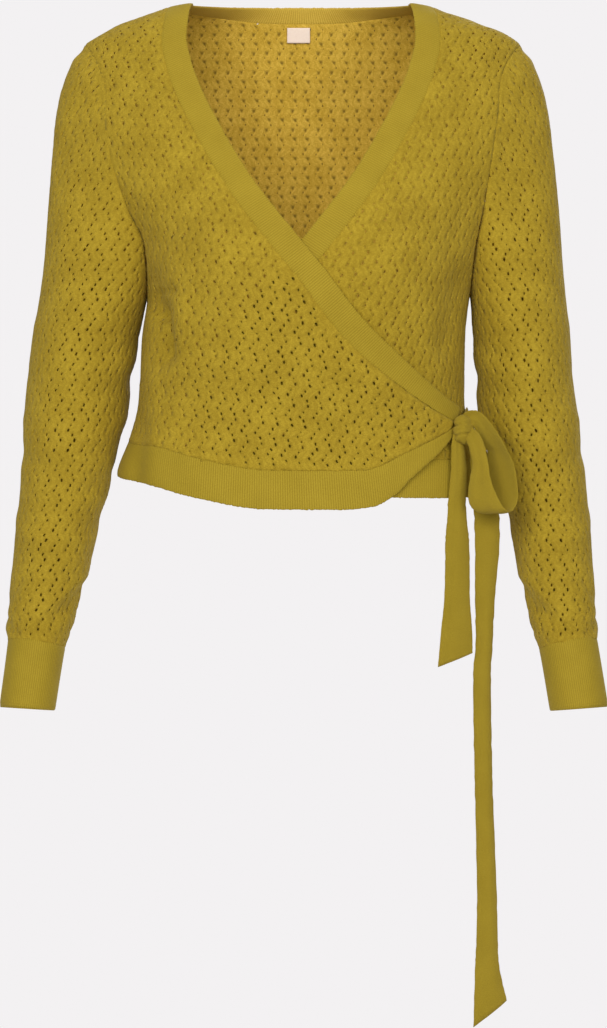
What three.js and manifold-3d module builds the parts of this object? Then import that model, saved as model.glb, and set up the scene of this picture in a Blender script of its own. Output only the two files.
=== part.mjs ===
// A cropped wrap shrug in open net knit, as it stands when worn: two crossed fronts, a back, two long
// set-in sleeves with cuffs, a neck band, a hem band, and a ribbon tie knotted in a single bow at the
// wearer's left hip. Millimetres, +Z up, -Y towards the front. The origin lies midway between the two
// shoulder neck points, at the height where the garment hangs from the wearer's shoulders. "Right" and
// "left" in the names are the wearer's: the right side of the garment has negative X.
import * as THREE from "three";
import { mergeVertices } from "three/addons/utils/BufferGeometryUtils.js";
import Module from "manifold-3d";

const wasm = await Module();
wasm.setup();

// Cloth
const WALL = 2.0; // thickness of the net knit
const BAND_WALL = 2.4; // thickness of the plain knit bands, hems and cuffs
const RIBBON_WALL = 2.0;
const KNOT_CLEAR = 0.4; // gap between the knot and each end that runs into it
const SEAM = 0.5; // gap between two sewn pieces
const SLEEVE_SEAM = 0.8; // the same at the armholes, where the inner faces come closer
const SIDE_GAP = 0.2; // half the gap at side and shoulder seams, taken by the front and by the back
const OVERLAP = 4.2; // how far the upper front stands off the lower one where they cross
const TIE_LIFT = 1.5; // how much further the corner that runs into the tie stands off
// Where both start, by distance from the middle: the first from so far before the upper front's edge,
// which is not followed beyond its furthest place, and over such a width.
const STANDS_OFF = { furthest: -112, before: 44, over: 28, tieFrom: 70, tieOver: 50 };
const SEAM_CALM = 10; // how sharply the folds die out towards the side seams

// Neck, bands and hem
const BAND_WIDE = 23;
const BAND_END_WIDE = 15; // a front's band narrows to this where it runs into the tie
const BAND_TAPER = 70; // over this length
const CORNER_BEND = 0.16; // share of a seam that bends into the corner at the tie
const EDGE_BUNCHING = 1.6; // brings more of an edge's points near the shoulder, where it runs over it
const NECK_HALF = 100; // half the neck's width at the shoulder line
const NECK_RISE = 8; // how far the back neck's middle rises above the shoulder neck points
const NECK_BACK_WIDE = 15; // the band's width at the middle of the back

// Armhole: an oval in side view
const ARM_MID = -154;
const ARM_HALF = 116;
const ARM_FRONT = 57;
const ARM_BACK = 62;

// Sleeve
const CAP_END = -300; // the height where the cap has become a plain tube
const CUFF_TOP = -592;
const CUFF_END = -652;
// The cap's lines: how far they stand out at the armpit, how they leave the armhole and how strongly
// they keep their direction at both ends.
const CAP = { out: 1.6, outFade: 4, lean: 0.12, fall: 0.35, turnDown: 1.25, pull: 0.36, arrive: 12 };
const FOLD_SWING = 40; // how far a slanted crease climbs from its deepest side
const FOLD_FADE = 1.5; // how quickly a crease fades round the sleeve

// Grid sizes, in cells
const AROUND_SLEEVE = 24;
const CAP_ROWS = 7;
const SLEEVE_ROWS = 11;
const CUFF_ROWS = 3;
const SIDE_ROWS = 7; // from the hem to the armpit
const ARM_ROWS = AROUND_SLEEVE / 2; // from the armpit to the shoulder tip
const BODY_ROWS = SIDE_ROWS + ARM_ROWS;
const FRONT_COLUMNS = 18;
const SHOULDER_CELLS = 5;
const NECK_CELLS = 14;
const RELAX = { front: 2, back: 12 }; // rounds of evening out a patch's inner points
const FINE = 10; // lines are worked out this many times finer than the grids that use them
const SEAT_ROUNDS = 12; // steps that bring a point onto the form
const HALVINGS = 40; // steps that find the shoulder line's height
const BESIDE_MOVES = 6; // steps from a line to the one beside it
const NEARBY = 0.5; // distance for slopes of the form
const SMALL_TURN = 0.01; // the same for the armhole's direction

// One row of a table, as values by column name.
const named = (columns, row) =>
  Object.fromEntries(columns.map((name, i) => [name, row[i]]));

// A table with named columns; each column becomes a smooth function of the first one.
function table(columns, rows) {
  const sorted = [...rows].sort((a, b) => a[0] - b[0]);
  const xs = sorted.map((row) => row[0]);
  const made = {};
  columns.slice(1).forEach((name, k) => {
    made[name] = smooth(
      xs,
      sorted.map((row) => row[k + 1]),
    );
  });
  return made;
}

// Monotone cubic curve through the points: it never swings past a listed value.
function smooth(xs, ys) {
  const n = xs.length;
  const step = xs.slice(1).map((x, i) => x - xs[i]);
  const rise = step.map((h, i) => (ys[i + 1] - ys[i]) / h);
  const slope = ys.map((_, i) => {
    if (i === 0) return rise[0];
    if (i === n - 1) return rise[n - 2];
    if (rise[i - 1] * rise[i] <= 0) return 0;
    const before = 2 * step[i] + step[i - 1];
    const after = step[i] + 2 * step[i - 1];
    return (before + after) / (before / rise[i - 1] + after / rise[i]);
  });
  return (x) => {
    if (x <= xs[0]) return ys[0];
    if (x >= xs[n - 1]) return ys[n - 1];
    let i = 0;
    while (x > xs[i + 1]) i += 1;
    const t = (x - xs[i]) / step[i];
    const u = 1 - t;
    return (
      ys[i] * u * u * (1 + 2 * t) +
      slope[i] * step[i] * t * u * u +
      ys[i + 1] * t * t * (3 - 2 * t) -
      slope[i + 1] * step[i] * t * t * u
    );
  };
}

// The worn form without its sleeves: half-widths to the wearer's right and left, by height.
const WIDTH = table(
  ["z", "right", "left"],
  [
    [12, 62, 62],
    [0, 100, 100],
    [-3, 122, 122],
    [-8.4, 139.5, 137],
    [-14, 155.5, 155.5],
    [-19.6, 171, 169.5],
    [-25.5, 181.5, 186],
    [-31, 191, 196],
    [-38, 201, 204],
    [-70, 212, 215],
    [-95, 212, 216],
    [-130, 205, 206],
    [-169, 187, 191],
    [-196, 171, 181],
    [-228, 150, 168],
    [-270, 143, 157],
    [-312, 148, 152.5],
    [-367, 150.5, 151.8],
    [-405, 160, 158],
    [-437, 171, 165],
    [-472, 172.5, 168.5],
  ],
);

// Depths to the front and to the back, and how square each section's corners are (2 is an ellipse).
const DEPTH = table(
  ["z", "front", "back", "squareFront", "squareBack"],
  [
    [12, 38, 57, 2.0, 2.0],
    [0, 45, 61.5, 2.0, 2.0],
    [-38, 61, 75.5, 2.0, 2.1],
    [-95, 84, 93, 2.15, 2.5],
    [-130, 96.5, 98, 2.25, 2.8],
    [-169, 107.5, 99.5, 2.3, 3.0],
    [-228, 118, 93, 2.3, 3.0],
    [-270, 120, 86, 2.3, 2.8],
    [-330, 112, 77.5, 2.3, 2.6],
    [-386, 104, 75.5, 2.3, 2.5],
    [-440, 102.5, 80.5, 2.3, 2.5],
    [-472, 104, 84, 2.3, 2.5],
  ],
);

// The edge of a crossed front: its distance from the middle, on the side where it starts, by height.
const FRONT_EDGE = table(
  ["z", "x"],
  [
    [0, 100],
    [-13, 103],
    [-37, 104.5],
    [-57, 101],
    [-80, 93.5],
    [-121, 74],
    [-168, 47],
    [-214, 13],
    [-251, -16.6],
    [-296, -51.4],
    [-331, -87],
    [-363, -123],
    [-377, -141],
  ],
);
const UPPER_EDGE_END = -377; // height where the upper front's edge reaches the tie
const UNDER_EDGE_END = -354; // height where the lower front's edge ends, hidden under the upper front

// Hem lines, by the turn round the body from the middle of the front or back, in degrees: the height of
// the lower edge and the height of the band there.
const HEM_COLUMNS = ["turn", "z", "tall"];
const HEM_UPPER = table(HEM_COLUMNS, [
  [-90, -437, 35],
  [-52, -447.5, 35],
  [-35, -458, 35],
  [-10, -469.5, 35],
  [12, -470, 35],
  [22, -467.5, 34],
  [30.5, -455.5, 30],
  [36, -442, 24],
  [43, -429, 19],
  [50, -418, 16],
  [57, -406, 14],
]);
const HEM_UNDER = table(HEM_COLUMNS, [
  [-41, -379, 12],
  [-38.5, -394, 13],
  [-34, -413, 17],
  [-28, -432, 22],
  [-22, -446, 28],
  [-14, -456, 33],
  [0, -458, 35],
  [50, -459, 35],
  [90, -456, 35],
]);
const HEM_BACK = table(HEM_COLUMNS, [
  [-90, -437, 35],
  [-45, -446, 35],
  [0, -452, 35],
  [45, -456, 35],
  [90, -456, 35],
]);

// Soft folds and fullness on the body: from one point to another, how wide and how deep (out is positive).
const FOLD_COLUMNS = ["x0", "z0", "x1", "z1", "wide", "deep"];
const FRONT_FOLDS = [
  [-74, -236, -74, -246, 46, 8], // fullness of the bust
  [74, -236, 74, -246, 46, 8],
  [-136, -262, -121, -334, 10, -5], // creases that start at the armholes
  [-112, -250, -100, -300, 12, 2.5],
  [146, -258, 132, -322, 11, -4],
  [128, -392, 20, -336, 13, 2.5], // drag lines that run into the tie
  [120, -404, 10, -398, 11, -2.5],
  [-146, -388, -150, -440, 10, -3.5], // the hem's flare at the side
].map((row) => named(FOLD_COLUMNS, row));
const BACK_FOLDS = [
  [-72, -318, -66, -452, 17, 4.5],
  [-24, -344, -30, -452, 13, -3],
  [36, -330, 44, -452, 16, 4],
  [88, -350, 96, -452, 14, -3.5],
  [-128, -250, -96, -322, 13, -4],
  [130, -246, 98, -316, 14, -4],
].map((row) => named(FOLD_COLUMNS, row));

// Sleeves: a row for each section, by the height of its centre.
const SLEEVE = table(
  ["z", "rightX", "rightHalf", "leftX", "leftHalf", "y", "deep"],
  [
    [-300, -198.8, 49.6, 204.5, 45.5, 2, 57],
    [-350, -206, 48.8, 207.5, 45.8, 2, 55],
    [-400, -213.5, 45, 216.5, 43, -1, 51],
    [-450, -219.5, 41.2, 225, 39.8, -6, 47],
    [-500, -228, 36.8, 232.5, 36, -13, 42],
    [-550, -236.5, 33, 239, 32.8, -21, 37.5],
    [-578, -241.3, 30, 243, 30, -26, 34],
    [-592, -243, 26.5, 245.5, 27, -28.5, 31],
    [-652, -250.5, 25.4, 254.5, 26.6, -37, 30],
  ],
);

// The cap's outer side is fuller at the shoulder and slimmer below than its smooth lines, by height.
const CAP_FULLNESS = table(
  ["z", "out"],
  [
    [-38, 0],
    [-50, 4.2],
    [-75, 4.6],
    [-110, 2],
    [-135, -0.8],
    [-180, -2.8],
    [-230, -3.2],
    [-280, -1.6],
    [-300, 0],
  ],
);
const CAP_FADE = 0.15; // share of the armhole's size over which the fullness starts

// Creases across the sleeves: centre height, the side where they are deepest (degrees from the outside,
// towards the front), how much they slant, how wide and how deep.
const SLEEVE_FOLDS = [
  { z: -352, at: 165, slant: 0.35, wide: 12, deep: -3.2 },
  { z: -392, at: 150, slant: 0.5, wide: 13, deep: 2.6 },
  { z: -430, at: 60, slant: -0.4, wide: 12, deep: -2.4 },
  { z: -470, at: 200, slant: 0.45, wide: 14, deep: -2.8 },
  { z: -512, at: 120, slant: -0.5, wide: 12, deep: 2.2 },
  { z: -556, at: 150, slant: 0.7, wide: 11, deep: -3.4 },
  { z: -574, at: 330, slant: -0.4, wide: 9, deep: 2.0 },
];

const degrees = (a) => (a * Math.PI) / 180;
const clamp = (x, low, high) => Math.min(high, Math.max(low, x));
const ease = (x) => {
  const t = clamp(x, 0, 1);
  return t * t * (3 - 2 * t);
};
const vec = (x, y, z) => new THREE.Vector3(x, y, z);
const mix = (a, b, t) => a.clone().lerp(b, t);
const share = (i, n) => i / n;
const steps = (n, make) =>
  Array.from({ length: n + 1 }, (_, i) => make(share(i, n)));

// Half-width, depth and squareness of the form's section at a height. side is -1 for the front, 1 for the
// back.
function section(x, z, side) {
  return {
    half: x < 0 ? WIDTH.right(z) : WIDTH.left(z),
    deep: side < 0 ? DEPTH.front(z) : DEPTH.back(z),
    square: side < 0 ? DEPTH.squareFront(z) : DEPTH.squareBack(z),
  };
}

// How far outside the form a point is, and the way out.
function outside(p, side) {
  const { half, deep, square } = section(p.x, p.z, side);
  const across = Math.abs(p.x) / half;
  const along = Math.abs(p.y) / deep;
  const above = section(p.x, p.z + NEARBY, side);
  const below = section(p.x, p.z - NEARBY, side);
  const value = across ** square + along ** square - 1;
  const way = vec(
    (square * across ** (square - 1) * Math.sign(p.x)) / half,
    (square * along ** (square - 1) * side) / deep,
    -square *
      ((across ** square * (above.half - below.half)) / half +
        (along ** square * (above.deep - below.deep)) / deep),
  );
  return { value, way };
}

// Moves a point near the form onto it, along the way out.
function seat(point, side) {
  const p = point.clone();
  for (let i = 0; i < SEAT_ROUNDS; i += 1) {
    const { value, way } = outside(p, side);
    p.addScaledVector(way, -value / Math.max(way.lengthSq(), 1e-9));
    if (p.y * side < 0) p.y = 0;
  }
  return p;
}

// The point of the form straight in front of, or behind, a place in the front view.
function formAt(x, z, side) {
  const { half, deep, square } = section(x, z, side);
  const across = Math.min(1, Math.abs(x) / half);
  return vec(x, side * deep * (1 - across ** square) ** (1 / square), z);
}

// The height of the shoulder line at a distance from the middle.
function shoulderHeight(x) {
  const reach = x < 0 ? WIDTH.right : WIDTH.left;
  let [low, high] = [ARM_MID + ARM_HALF, 0];
  for (let i = 0; i < HALVINGS; i += 1) {
    const middle = (low + high) / 2;
    if (reach(middle) > Math.abs(x)) low = middle;
    else high = middle;
  }
  return (low + high) / 2;
}

function foldDepth(folds, x, z) {
  return folds.reduce((sum, f) => {
    const [dx, dz] = [f.x1 - f.x0, f.z1 - f.z0];
    const t = clamp(
      ((x - f.x0) * dx + (z - f.z0) * dz) / (dx * dx + dz * dz),
      0,
      1,
    );
    const away = Math.hypot(x - f.x0 - t * dx, z - f.z0 - t * dz) / f.wide;
    return sum + f.deep * Math.exp(-away * away);
  }, 0);
}

// The upper front lies outside the lower one where they cross.
function standOff(x, z) {
  const { furthest, before, over, tieFrom, tieOver } = STANDS_OFF;
  const edge = Math.max(FRONT_EDGE.x(z), furthest);
  const crossed = OVERLAP * ease((x - edge + before) / over);
  return crossed + TIE_LIFT * ease((x - tieFrom) / tieOver);
}

// A cloth point: its place on the outer face and the way out. layer is "upper" for the front on top.
function cloth(seated, side, layer, lift = 0) {
  const p = seated.clone();
  const { way } = outside(p, side);
  const normal = way.normalize();
  const { half } = section(p.x, p.z, side);
  const atSeam = 1 - Math.min(1, Math.abs(p.x) / half) ** SEAM_CALM;
  const folds = side < 0 ? FRONT_FOLDS : BACK_FOLDS;
  let out = foldDepth(folds, p.x, p.z) * atSeam + lift;
  if (layer === "upper") out += standOff(p.x, p.z);
  p.addScaledVector(normal, out);
  p.y += side * SIDE_GAP;
  return { p, n: normal };
}

// Places evenly spaced by length along a line of points, as fractional positions in its list.
function places(points, cells) {
  const reach = [0];
  for (let i = 1; i < points.length; i += 1)
    reach.push(reach[i - 1] + points[i].distanceTo(points[i - 1]));
  const total = reach[reach.length - 1];
  return steps(cells, (t) => {
    let i = 0;
    while (i < points.length - 2 && reach[i + 1] < t * total) i += 1;
    return i + clamp((t * total - reach[i]) / (reach[i + 1] - reach[i]), 0, 1);
  });
}

function pick(points, at) {
  return at.map((place) => {
    const i = Math.min(Math.floor(place), points.length - 2);
    return mix(points[i], points[i + 1], place - i);
  });
}

// The line beside another one on the form, as far from it as width says. towards is 1 or -1, the side of
// the line.
function beside(points, side, width, towards) {
  return points.map((p, i) => {
    const ahead = points[Math.min(i + 1, points.length - 1)];
    const behind = points[Math.max(i - 1, 0)];
    const run = ahead.clone().sub(behind).normalize();
    const across = run.cross(outside(p, side).way.normalize()).normalize();
    const step = (towards * width(share(i, points.length - 1))) / BESIDE_MOVES;
    let q = p.clone();
    for (let k = 0; k < BESIDE_MOVES; k += 1)
      q = seat(q.addScaledVector(across, step), side);
    return q;
  });
}

// Bends the end of a line so that it finishes at a point.
function endAt(points, target) {
  const last = points.length - 1;
  const shift = target.clone().sub(points[last]);
  return points.map((p, i) =>
    p.clone().addScaledVector(shift, ease(1 - (1 - i / last) / CORNER_BEND)),
  );
}

// A four-sided patch of cloth between its four border lines, seated on the form. Each border has the
// grid's points.
function patch({ bottom, top, start, end }, side, layer) {
  const columns = bottom.length - 1;
  const rows = start.length - 1;
  let grid = start.map((_, j) =>
    bottom.map((_, i) => {
      const [u, v] = [i / columns, j / rows];
      const p = mix(bottom[i], top[i], v).add(mix(start[j], end[j], u));
      const corners = mix(
        mix(bottom[0], bottom[columns], u),
        mix(top[0], top[columns], u),
        v,
      );
      return seat(p.sub(corners), side);
    }),
  );
  const rounds = side < 0 ? RELAX.front : RELAX.back;
  for (let k = 0; k < rounds; k += 1)
    grid = grid.map((row, j) =>
      row.map((p, i) => {
        if (i === 0 || j === 0 || i === columns || j === rows) return p;
        const sum = vec(0, 0, 0);
        for (const q of [row[i - 1], row[i + 1], grid[j - 1][i], grid[j + 1][i]])
          sum.add(q);
        return seat(sum.divideScalar(4), side);
      }),
    );
  return grid.map((row) => row.map((p) => cloth(p, side, layer)));
}

// A strip of cloth between two lines with the same number of points.
function strip(low, high, side, layer) {
  return low.map((p, i) =>
    [0, 0.5, 1].map((k) => cloth(seat(mix(p, high[i], k), side), side, layer)),
  );
}

// The closed wall with a grid of cloth points as its outer face. A tube's rows close on themselves.
function wall(grid, thick, tube = false) {
  const rows = grid.length;
  const columns = grid[0].length;
  const outer = grid.flat().map(({ p }) => p);
  const inner = grid
    .flat()
    .map(({ p, n }) => p.clone().addScaledVector(n, -thick));
  const depth = rows * columns;
  const at = (j, i) => j * columns + (i % columns);
  const faces = [];
  const quad = (a, b, c, d) => faces.push([a, b, c], [a, c, d]);
  const across = tube ? columns : columns - 1;
  for (let j = 0; j < rows - 1; j += 1)
    for (let i = 0; i < across; i += 1) {
      const corners = [at(j, i), at(j, i + 1), at(j + 1, i + 1), at(j + 1, i)];
      const [a, b, c, d] = corners;
      quad(a, b, c, d);
      quad(depth + d, depth + c, depth + b, depth + a);
    }
  const rim = (a, b) => quad(b, a, depth + a, depth + b);
  for (let i = 0; i < across; i += 1) {
    rim(at(0, i), at(0, i + 1));
    rim(at(rows - 1, i + 1), at(rows - 1, i));
  }
  if (!tube)
    for (let j = 0; j < rows - 1; j += 1) {
      rim(at(j + 1, 0), at(j, 0));
      rim(at(j, columns - 1), at(j + 1, columns - 1));
    }
  return solid([...outer, ...inner], faces);
}

// An indexed geometry with its faces turned outwards.
function solid(points, faces) {
  const volume = faces.reduce(
    (sum, [a, b, c]) =>
      sum + points[a].dot(points[b].clone().cross(points[c])) / 6,
    0,
  );
  const turned = volume < 0 ? faces.map(([a, b, c]) => [a, c, b]) : faces;
  const numbers = points.flatMap(({ x, y, z }) => [x, y, z]);
  return new THREE.BufferGeometry()
    .setAttribute("position", new THREE.Float32BufferAttribute(numbers, 3))
    .setIndex(turned.flat());
}

// Body borders, all on the form.

// A point of the armhole; turn is 0 at the shoulder tip and a half turn at the armpit. hand is -1 for the
// right.
function armholePoint(turn, hand, side) {
  const z = ARM_MID + ARM_HALF * Math.cos(turn);
  const y = (side < 0 ? ARM_FRONT : ARM_BACK) * Math.sin(turn);
  const { half, deep, square } = section(hand, z, side);
  const x = half * (1 - Math.abs(y / deep) ** square) ** (1 / square);
  return vec(hand * x, side * y, z);
}

const sidePoint = (hand, z) => vec(hand * section(hand, z, -1).half, 0, z);
const shoulderPoint = (x) => vec(x, 0, shoulderHeight(x));

// The side seam from a height up to the armpit, then the armhole up to the shoulder tip.
function sideBorder(hand, side, from) {
  const armpit = ARM_MID - ARM_HALF;
  const seam = steps(SIDE_ROWS, (t) =>
    sidePoint(hand, from + (armpit - from) * t),
  );
  const arm = steps(ARM_ROWS, (t) =>
    armholePoint(Math.PI * (1 - t), hand, side),
  );
  return [...seam.slice(0, -1), ...arm];
}

// The shoulder seam from the tip in to the band.
function shoulder(hand, cells) {
  const tip = Math.abs(armholePoint(0, hand, -1).x);
  const inner = NECK_HALF + BAND_WIDE + SEAM;
  return steps(cells, (t) => shoulderPoint(hand * (tip + (inner - tip) * t)));
}

// A front's edge from the shoulder neck point down. hand is the side where it starts.
function frontEdge(hand, endHeight) {
  return steps(BODY_ROWS * FINE, (t) => {
    const z = endHeight * t ** EDGE_BUNCHING;
    return formAt(hand * FRONT_EDGE.x(z), z, -1);
  });
}

// The hem's lower line round part of the body.
function hemLine(hem, fromTurn, toTurn, side, cells) {
  return steps(cells * FINE, (t) => {
    const turn = fromTurn + (toTurn - fromTurn) * t;
    const z = hem.z(turn);
    return formAt(
      section(turn, z, side).half * Math.sin(degrees(turn)),
      z,
      side,
    );
  });
}

const lengthOf = (points) =>
  points.slice(1).reduce((sum, p, i) => sum + p.distanceTo(points[i]), 0);

const KNIT = new THREE.MeshStandardMaterial({
  color: 0xa98f2b,
  roughness: 0.95,
  metalness: 0,
});
const PLAIN = new THREE.MeshStandardMaterial({
  color: 0xb0942d,
  roughness: 0.92,
  metalness: 0,
});
const LABEL = new THREE.MeshStandardMaterial({
  color: 0xf5decb,
  roughness: 0.6,
  metalness: 0,
});

const group = new THREE.Group();

function add(name, geometry, material) {
  const mesh = new THREE.Mesh(geometry, material);
  mesh.name = name;
  group.add(mesh);
}

// Moves the end of a hem's upper line onto the side seam.
function atSideSeam(line, i, hand, z) {
  line[i] = sidePoint(hand, z);
}

// A front: the net panel, the neck band along its edge and the hem band below it. They meet in a corner
// at the tie.
function makeFront({ name, hand, layer, edgeEnd, hem, hemEnd, corner }) {
  const edge = frontEdge(hand, edgeEnd);
  const length = lengthOf(edge);
  const width = (t) =>
    BAND_END_WIDE +
    (BAND_WIDE - BAND_END_WIDE) * ease(((1 - t) * length) / BAND_TAPER);
  const inwards = hand < 0 ? 1 : -1;
  const meeting = formAt(corner.x, corner.z, -1);
  const seamOf = (extra) => {
    const line = beside(edge, -1, (t) => width(t) + extra, inwards);
    line[0] = shoulderPoint(hand * (NECK_HALF + BAND_WIDE + extra));
    return line;
  };
  const apart = (line, extra) =>
    endAt(line, mix(meeting, edge[edge.length - 1], extra));
  const bandSeam = apart(seamOf(0), SEAM / BAND_END_WIDE);
  const panelEdge = apart(seamOf(SEAM), 0);
  const rows = places(edge, BODY_ROWS);
  add(
    `neck_band_${name}`,
    wall(strip(pick(edge, rows), pick(bandSeam, rows), -1, layer), BAND_WALL),
    PLAIN,
  );

  const from = hand * 90;
  const hemLow = hemLine(hem, from, hemEnd, -1, FRONT_COLUMNS);
  const tall = (t) => hem.tall(from + (hemEnd - from) * t);
  const columns = places(hemLow, FRONT_COLUMNS);
  const hemTop = (extra) => {
    const line = beside(hemLow, -1, (t) => tall(t) + extra, -inwards);
    atSideSeam(line, 0, hand, hemLow[0].z + tall(0) + extra);
    return line;
  };
  const end = hemLow[hemLow.length - 1];
  const hemSeam = endAt(hemTop(0), mix(meeting, end, SEAM / BAND_END_WIDE));
  const panelLow = endAt(hemTop(SEAM), meeting);
  add(
    `hem_band_${name}_front`,
    wall(
      strip(pick(hemLow, columns), pick(hemSeam, columns), -1, layer),
      BAND_WALL,
    ),
    PLAIN,
  );

  const borders = {
    bottom: pick(panelLow, columns),
    top: shoulder(hand, FRONT_COLUMNS),
    start: sideBorder(hand, -1, panelLow[0].z),
    end: pick(panelEdge, rows).reverse(),
  };
  add(`${name}_front`, wall(patch(borders, -1, layer), WALL), KNIT);
}

// The back: the neck band across it, the net panel and the hem band.
function makeBack() {
  const neck = steps(NECK_CELLS * FINE, (t) => {
    const turn = Math.PI * (t - 0.5);
    const z = NECK_RISE * Math.cos(turn);
    return formAt(section(turn, z, 1).half * Math.sin(turn), z, 1);
  });
  const width = (t) =>
    BAND_WIDE + (NECK_BACK_WIDE - BAND_WIDE) * Math.sin(Math.PI * t);
  const neckSeam = (extra) => {
    const line = beside(neck, 1, (t) => width(t) + extra, -1);
    const reach = NECK_HALF + BAND_WIDE + extra;
    line[0] = shoulderPoint(-reach);
    line[line.length - 1] = shoulderPoint(reach);
    return line;
  };
  const cells = places(neck, NECK_CELLS);
  add(
    "neck_band_back",
    wall(
      strip(pick(neck, cells), pick(neckSeam(0), cells), 1, "back"),
      BAND_WALL,
    ),
    PLAIN,
  );

  const count = 2 * SHOULDER_CELLS + NECK_CELLS;
  const hemLow = hemLine(HEM_BACK, -90, 90, 1, count);
  const tall = (t) => HEM_BACK.tall(-90 + 180 * t);
  const last = hemLow.length - 1;
  const hemTop = (extra) => {
    const line = beside(hemLow, 1, (t) => tall(t) + extra, 1);
    atSideSeam(line, 0, -1, hemLow[0].z + tall(0) + extra);
    atSideSeam(line, last, 1, hemLow[last].z + tall(1) + extra);
    return line;
  };
  const columns = places(hemLow, count);
  add(
    "hem_band_back",
    wall(
      strip(pick(hemLow, columns), pick(hemTop(0), columns), 1, "back"),
      BAND_WALL,
    ),
    PLAIN,
  );

  const low = hemTop(SEAM);
  const borders = {
    bottom: pick(low, columns),
    top: [
      ...shoulder(-1, SHOULDER_CELLS).slice(0, -1),
      ...pick(neckSeam(SEAM), cells),
      ...shoulder(1, SHOULDER_CELLS).reverse().slice(1),
    ],
    start: sideBorder(-1, 1, low[0].z),
    end: sideBorder(1, 1, low[last].z),
  };
  add("back", wall(patch(borders, 1, "back"), WALL), KNIT);
}

// Sleeves
function sleeveCentre(hand, z) {
  return vec(hand < 0 ? SLEEVE.rightX(z) : SLEEVE.leftX(z), SLEEVE.y(z), z);
}

// A point of a sleeve: at is measured round it from the outside, through the front.
function sleevePoint(hand, z, at, along = 0) {
  const centre = sleeveCentre(hand, z);
  const down = sleeveCentre(hand, z - 1)
    .sub(sleeveCentre(hand, z + 1))
    .normalize();
  const out = vec(hand, 0, 0)
    .addScaledVector(down, -hand * down.x)
    .normalize();
  const fore = down.clone().cross(out).normalize();
  if (fore.y > 0) fore.negate();
  const half = hand < 0 ? SLEEVE.rightHalf(z) : SLEEVE.leftHalf(z);
  return centre
    .addScaledVector(out, half * Math.cos(at))
    .addScaledVector(fore, SLEEVE.deep(z) * Math.sin(at))
    .addScaledVector(down, along);
}

function sleeveFold(z, at) {
  return SLEEVE_FOLDS.reduce((sum, f) => {
    const turn = Math.cos(at - degrees(f.at));
    const level = z - f.z - f.slant * FOLD_SWING * Math.sin(at - degrees(f.at));
    const strength = ((1 + turn) / 2) ** FOLD_FADE;
    return sum + f.deep * strength * Math.exp(-((level / f.wide) ** 2));
  }, 0);
}

// How far the cap's cloth lies outside its smooth lines; nothing at the armhole's edge.
function capFullness(p, at) {
  const deep = at <= Math.PI ? ARM_FRONT : ARM_BACK;
  const inArmhole = Math.hypot(p.y / deep, (p.z - ARM_MID) / ARM_HALF);
  const fade = p.z < ARM_MID ? 1 : ease((1 - inArmhole) / CAP_FADE);
  return CAP_FULLNESS.out(p.z) * Math.max(0, Math.cos(at)) * fade;
}

// Turns a tube of bare points into cloth points: the way out comes from the neighbours and points away
// from the axis.
function tubeCloth(rows, offset = () => 0) {
  const count = rows[0].length;
  return rows.map((row, j) => {
    const middle = row
      .reduce((sum, p) => sum.add(p), vec(0, 0, 0))
      .divideScalar(count);
    return row.map((p, i) => {
      const round = row[(i + 1) % count].clone().sub(row[(i + count - 1) % count]);
      const down = rows[Math.min(j + 1, rows.length - 1)][i]
        .clone()
        .sub(rows[Math.max(j - 1, 0)][i]);
      const n = round.cross(down).normalize();
      if (n.dot(p.clone().sub(middle)) < 0) n.negate();
      return { p: p.clone().addScaledVector(n, offset(j, i)), n };
    });
  });
}

function makeSleeve(name, hand) {
  const turns = steps(AROUND_SLEEVE, (t) => 2 * Math.PI * t).slice(0, -1);
  const cap = turns.map((turn) => {
    const side = turn <= Math.PI ? -1 : 1;
    const inner = turn <= Math.PI ? turn : 2 * Math.PI - turn;
    const at = armholePoint(inner, hand, side);
    const before = armholePoint(inner - SMALL_TURN, hand, side);
    const after = armholePoint(inner + SMALL_TURN, hand, side);
    const { way } = outside(at, side);
    const across = after.sub(before).normalize().cross(way.normalize());
    if (across.dot(vec(at.x, 0, ARM_MID).sub(at)) < 0) across.negate();
    const low = (1 - Math.cos(inner)) / 2; // 0 at the shoulder tip, 1 at the armpit
    const aside = hand * CAP.out * low ** CAP.outFade;
    const start = at
      .clone()
      .addScaledVector(across, SLEEVE_SEAM)
      .add(vec(aside, side * SIDE_GAP * Math.sin(inner), 0));
    const finish = sleevePoint(hand, CAP_END, turn);
    const reach = start.distanceTo(finish);
    const drop = vec(hand * CAP.lean, 0, -1);
    const leave = across
      .clone()
      .multiplyScalar(1 - ease(low * CAP.turnDown))
      .addScaledVector(drop, CAP.fall + low)
      .normalize();
    const arrive = sleevePoint(hand, CAP_END - CAP.arrive, turn).sub(finish).normalize();
    const curve = new THREE.CubicBezierCurve3(
      start,
      start.clone().addScaledVector(leave, reach * CAP.pull),
      finish.clone().addScaledVector(arrive, -reach * CAP.pull),
      finish,
    );
    return curve.getPoints(CAP_ROWS);
  });
  const rows = cap[0].map((_, j) => cap.map((line) => line[j]));
  const heights = [];
  for (let j = 1; j <= SLEEVE_ROWS; j += 1) {
    const z = CAP_END + ((CUFF_TOP - CAP_END) * j) / SLEEVE_ROWS;
    heights.push(z);
    rows.push(turns.map((turn) => sleevePoint(hand, z, turn)));
  }
  const fold = (j, i) => {
    if (j <= CAP_ROWS) return capFullness(rows[j][i], turns[i]);
    return j < rows.length - 1 ? sleeveFold(heights[j - CAP_ROWS - 1], turns[i]) : 0;
  };
  add(`${name}_sleeve`, wall(tubeCloth(rows, fold), WALL, true), KNIT);

  const cuff = steps(CUFF_ROWS, (t) =>
    turns.map((turn) =>
      sleevePoint(hand, CUFF_TOP + (CUFF_END - CUFF_TOP) * t, turn, SEAM),
    ),
  );
  add(`${name}_cuff`, wall(tubeCloth(cuff), BAND_WALL, true), PLAIN);
}

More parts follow.
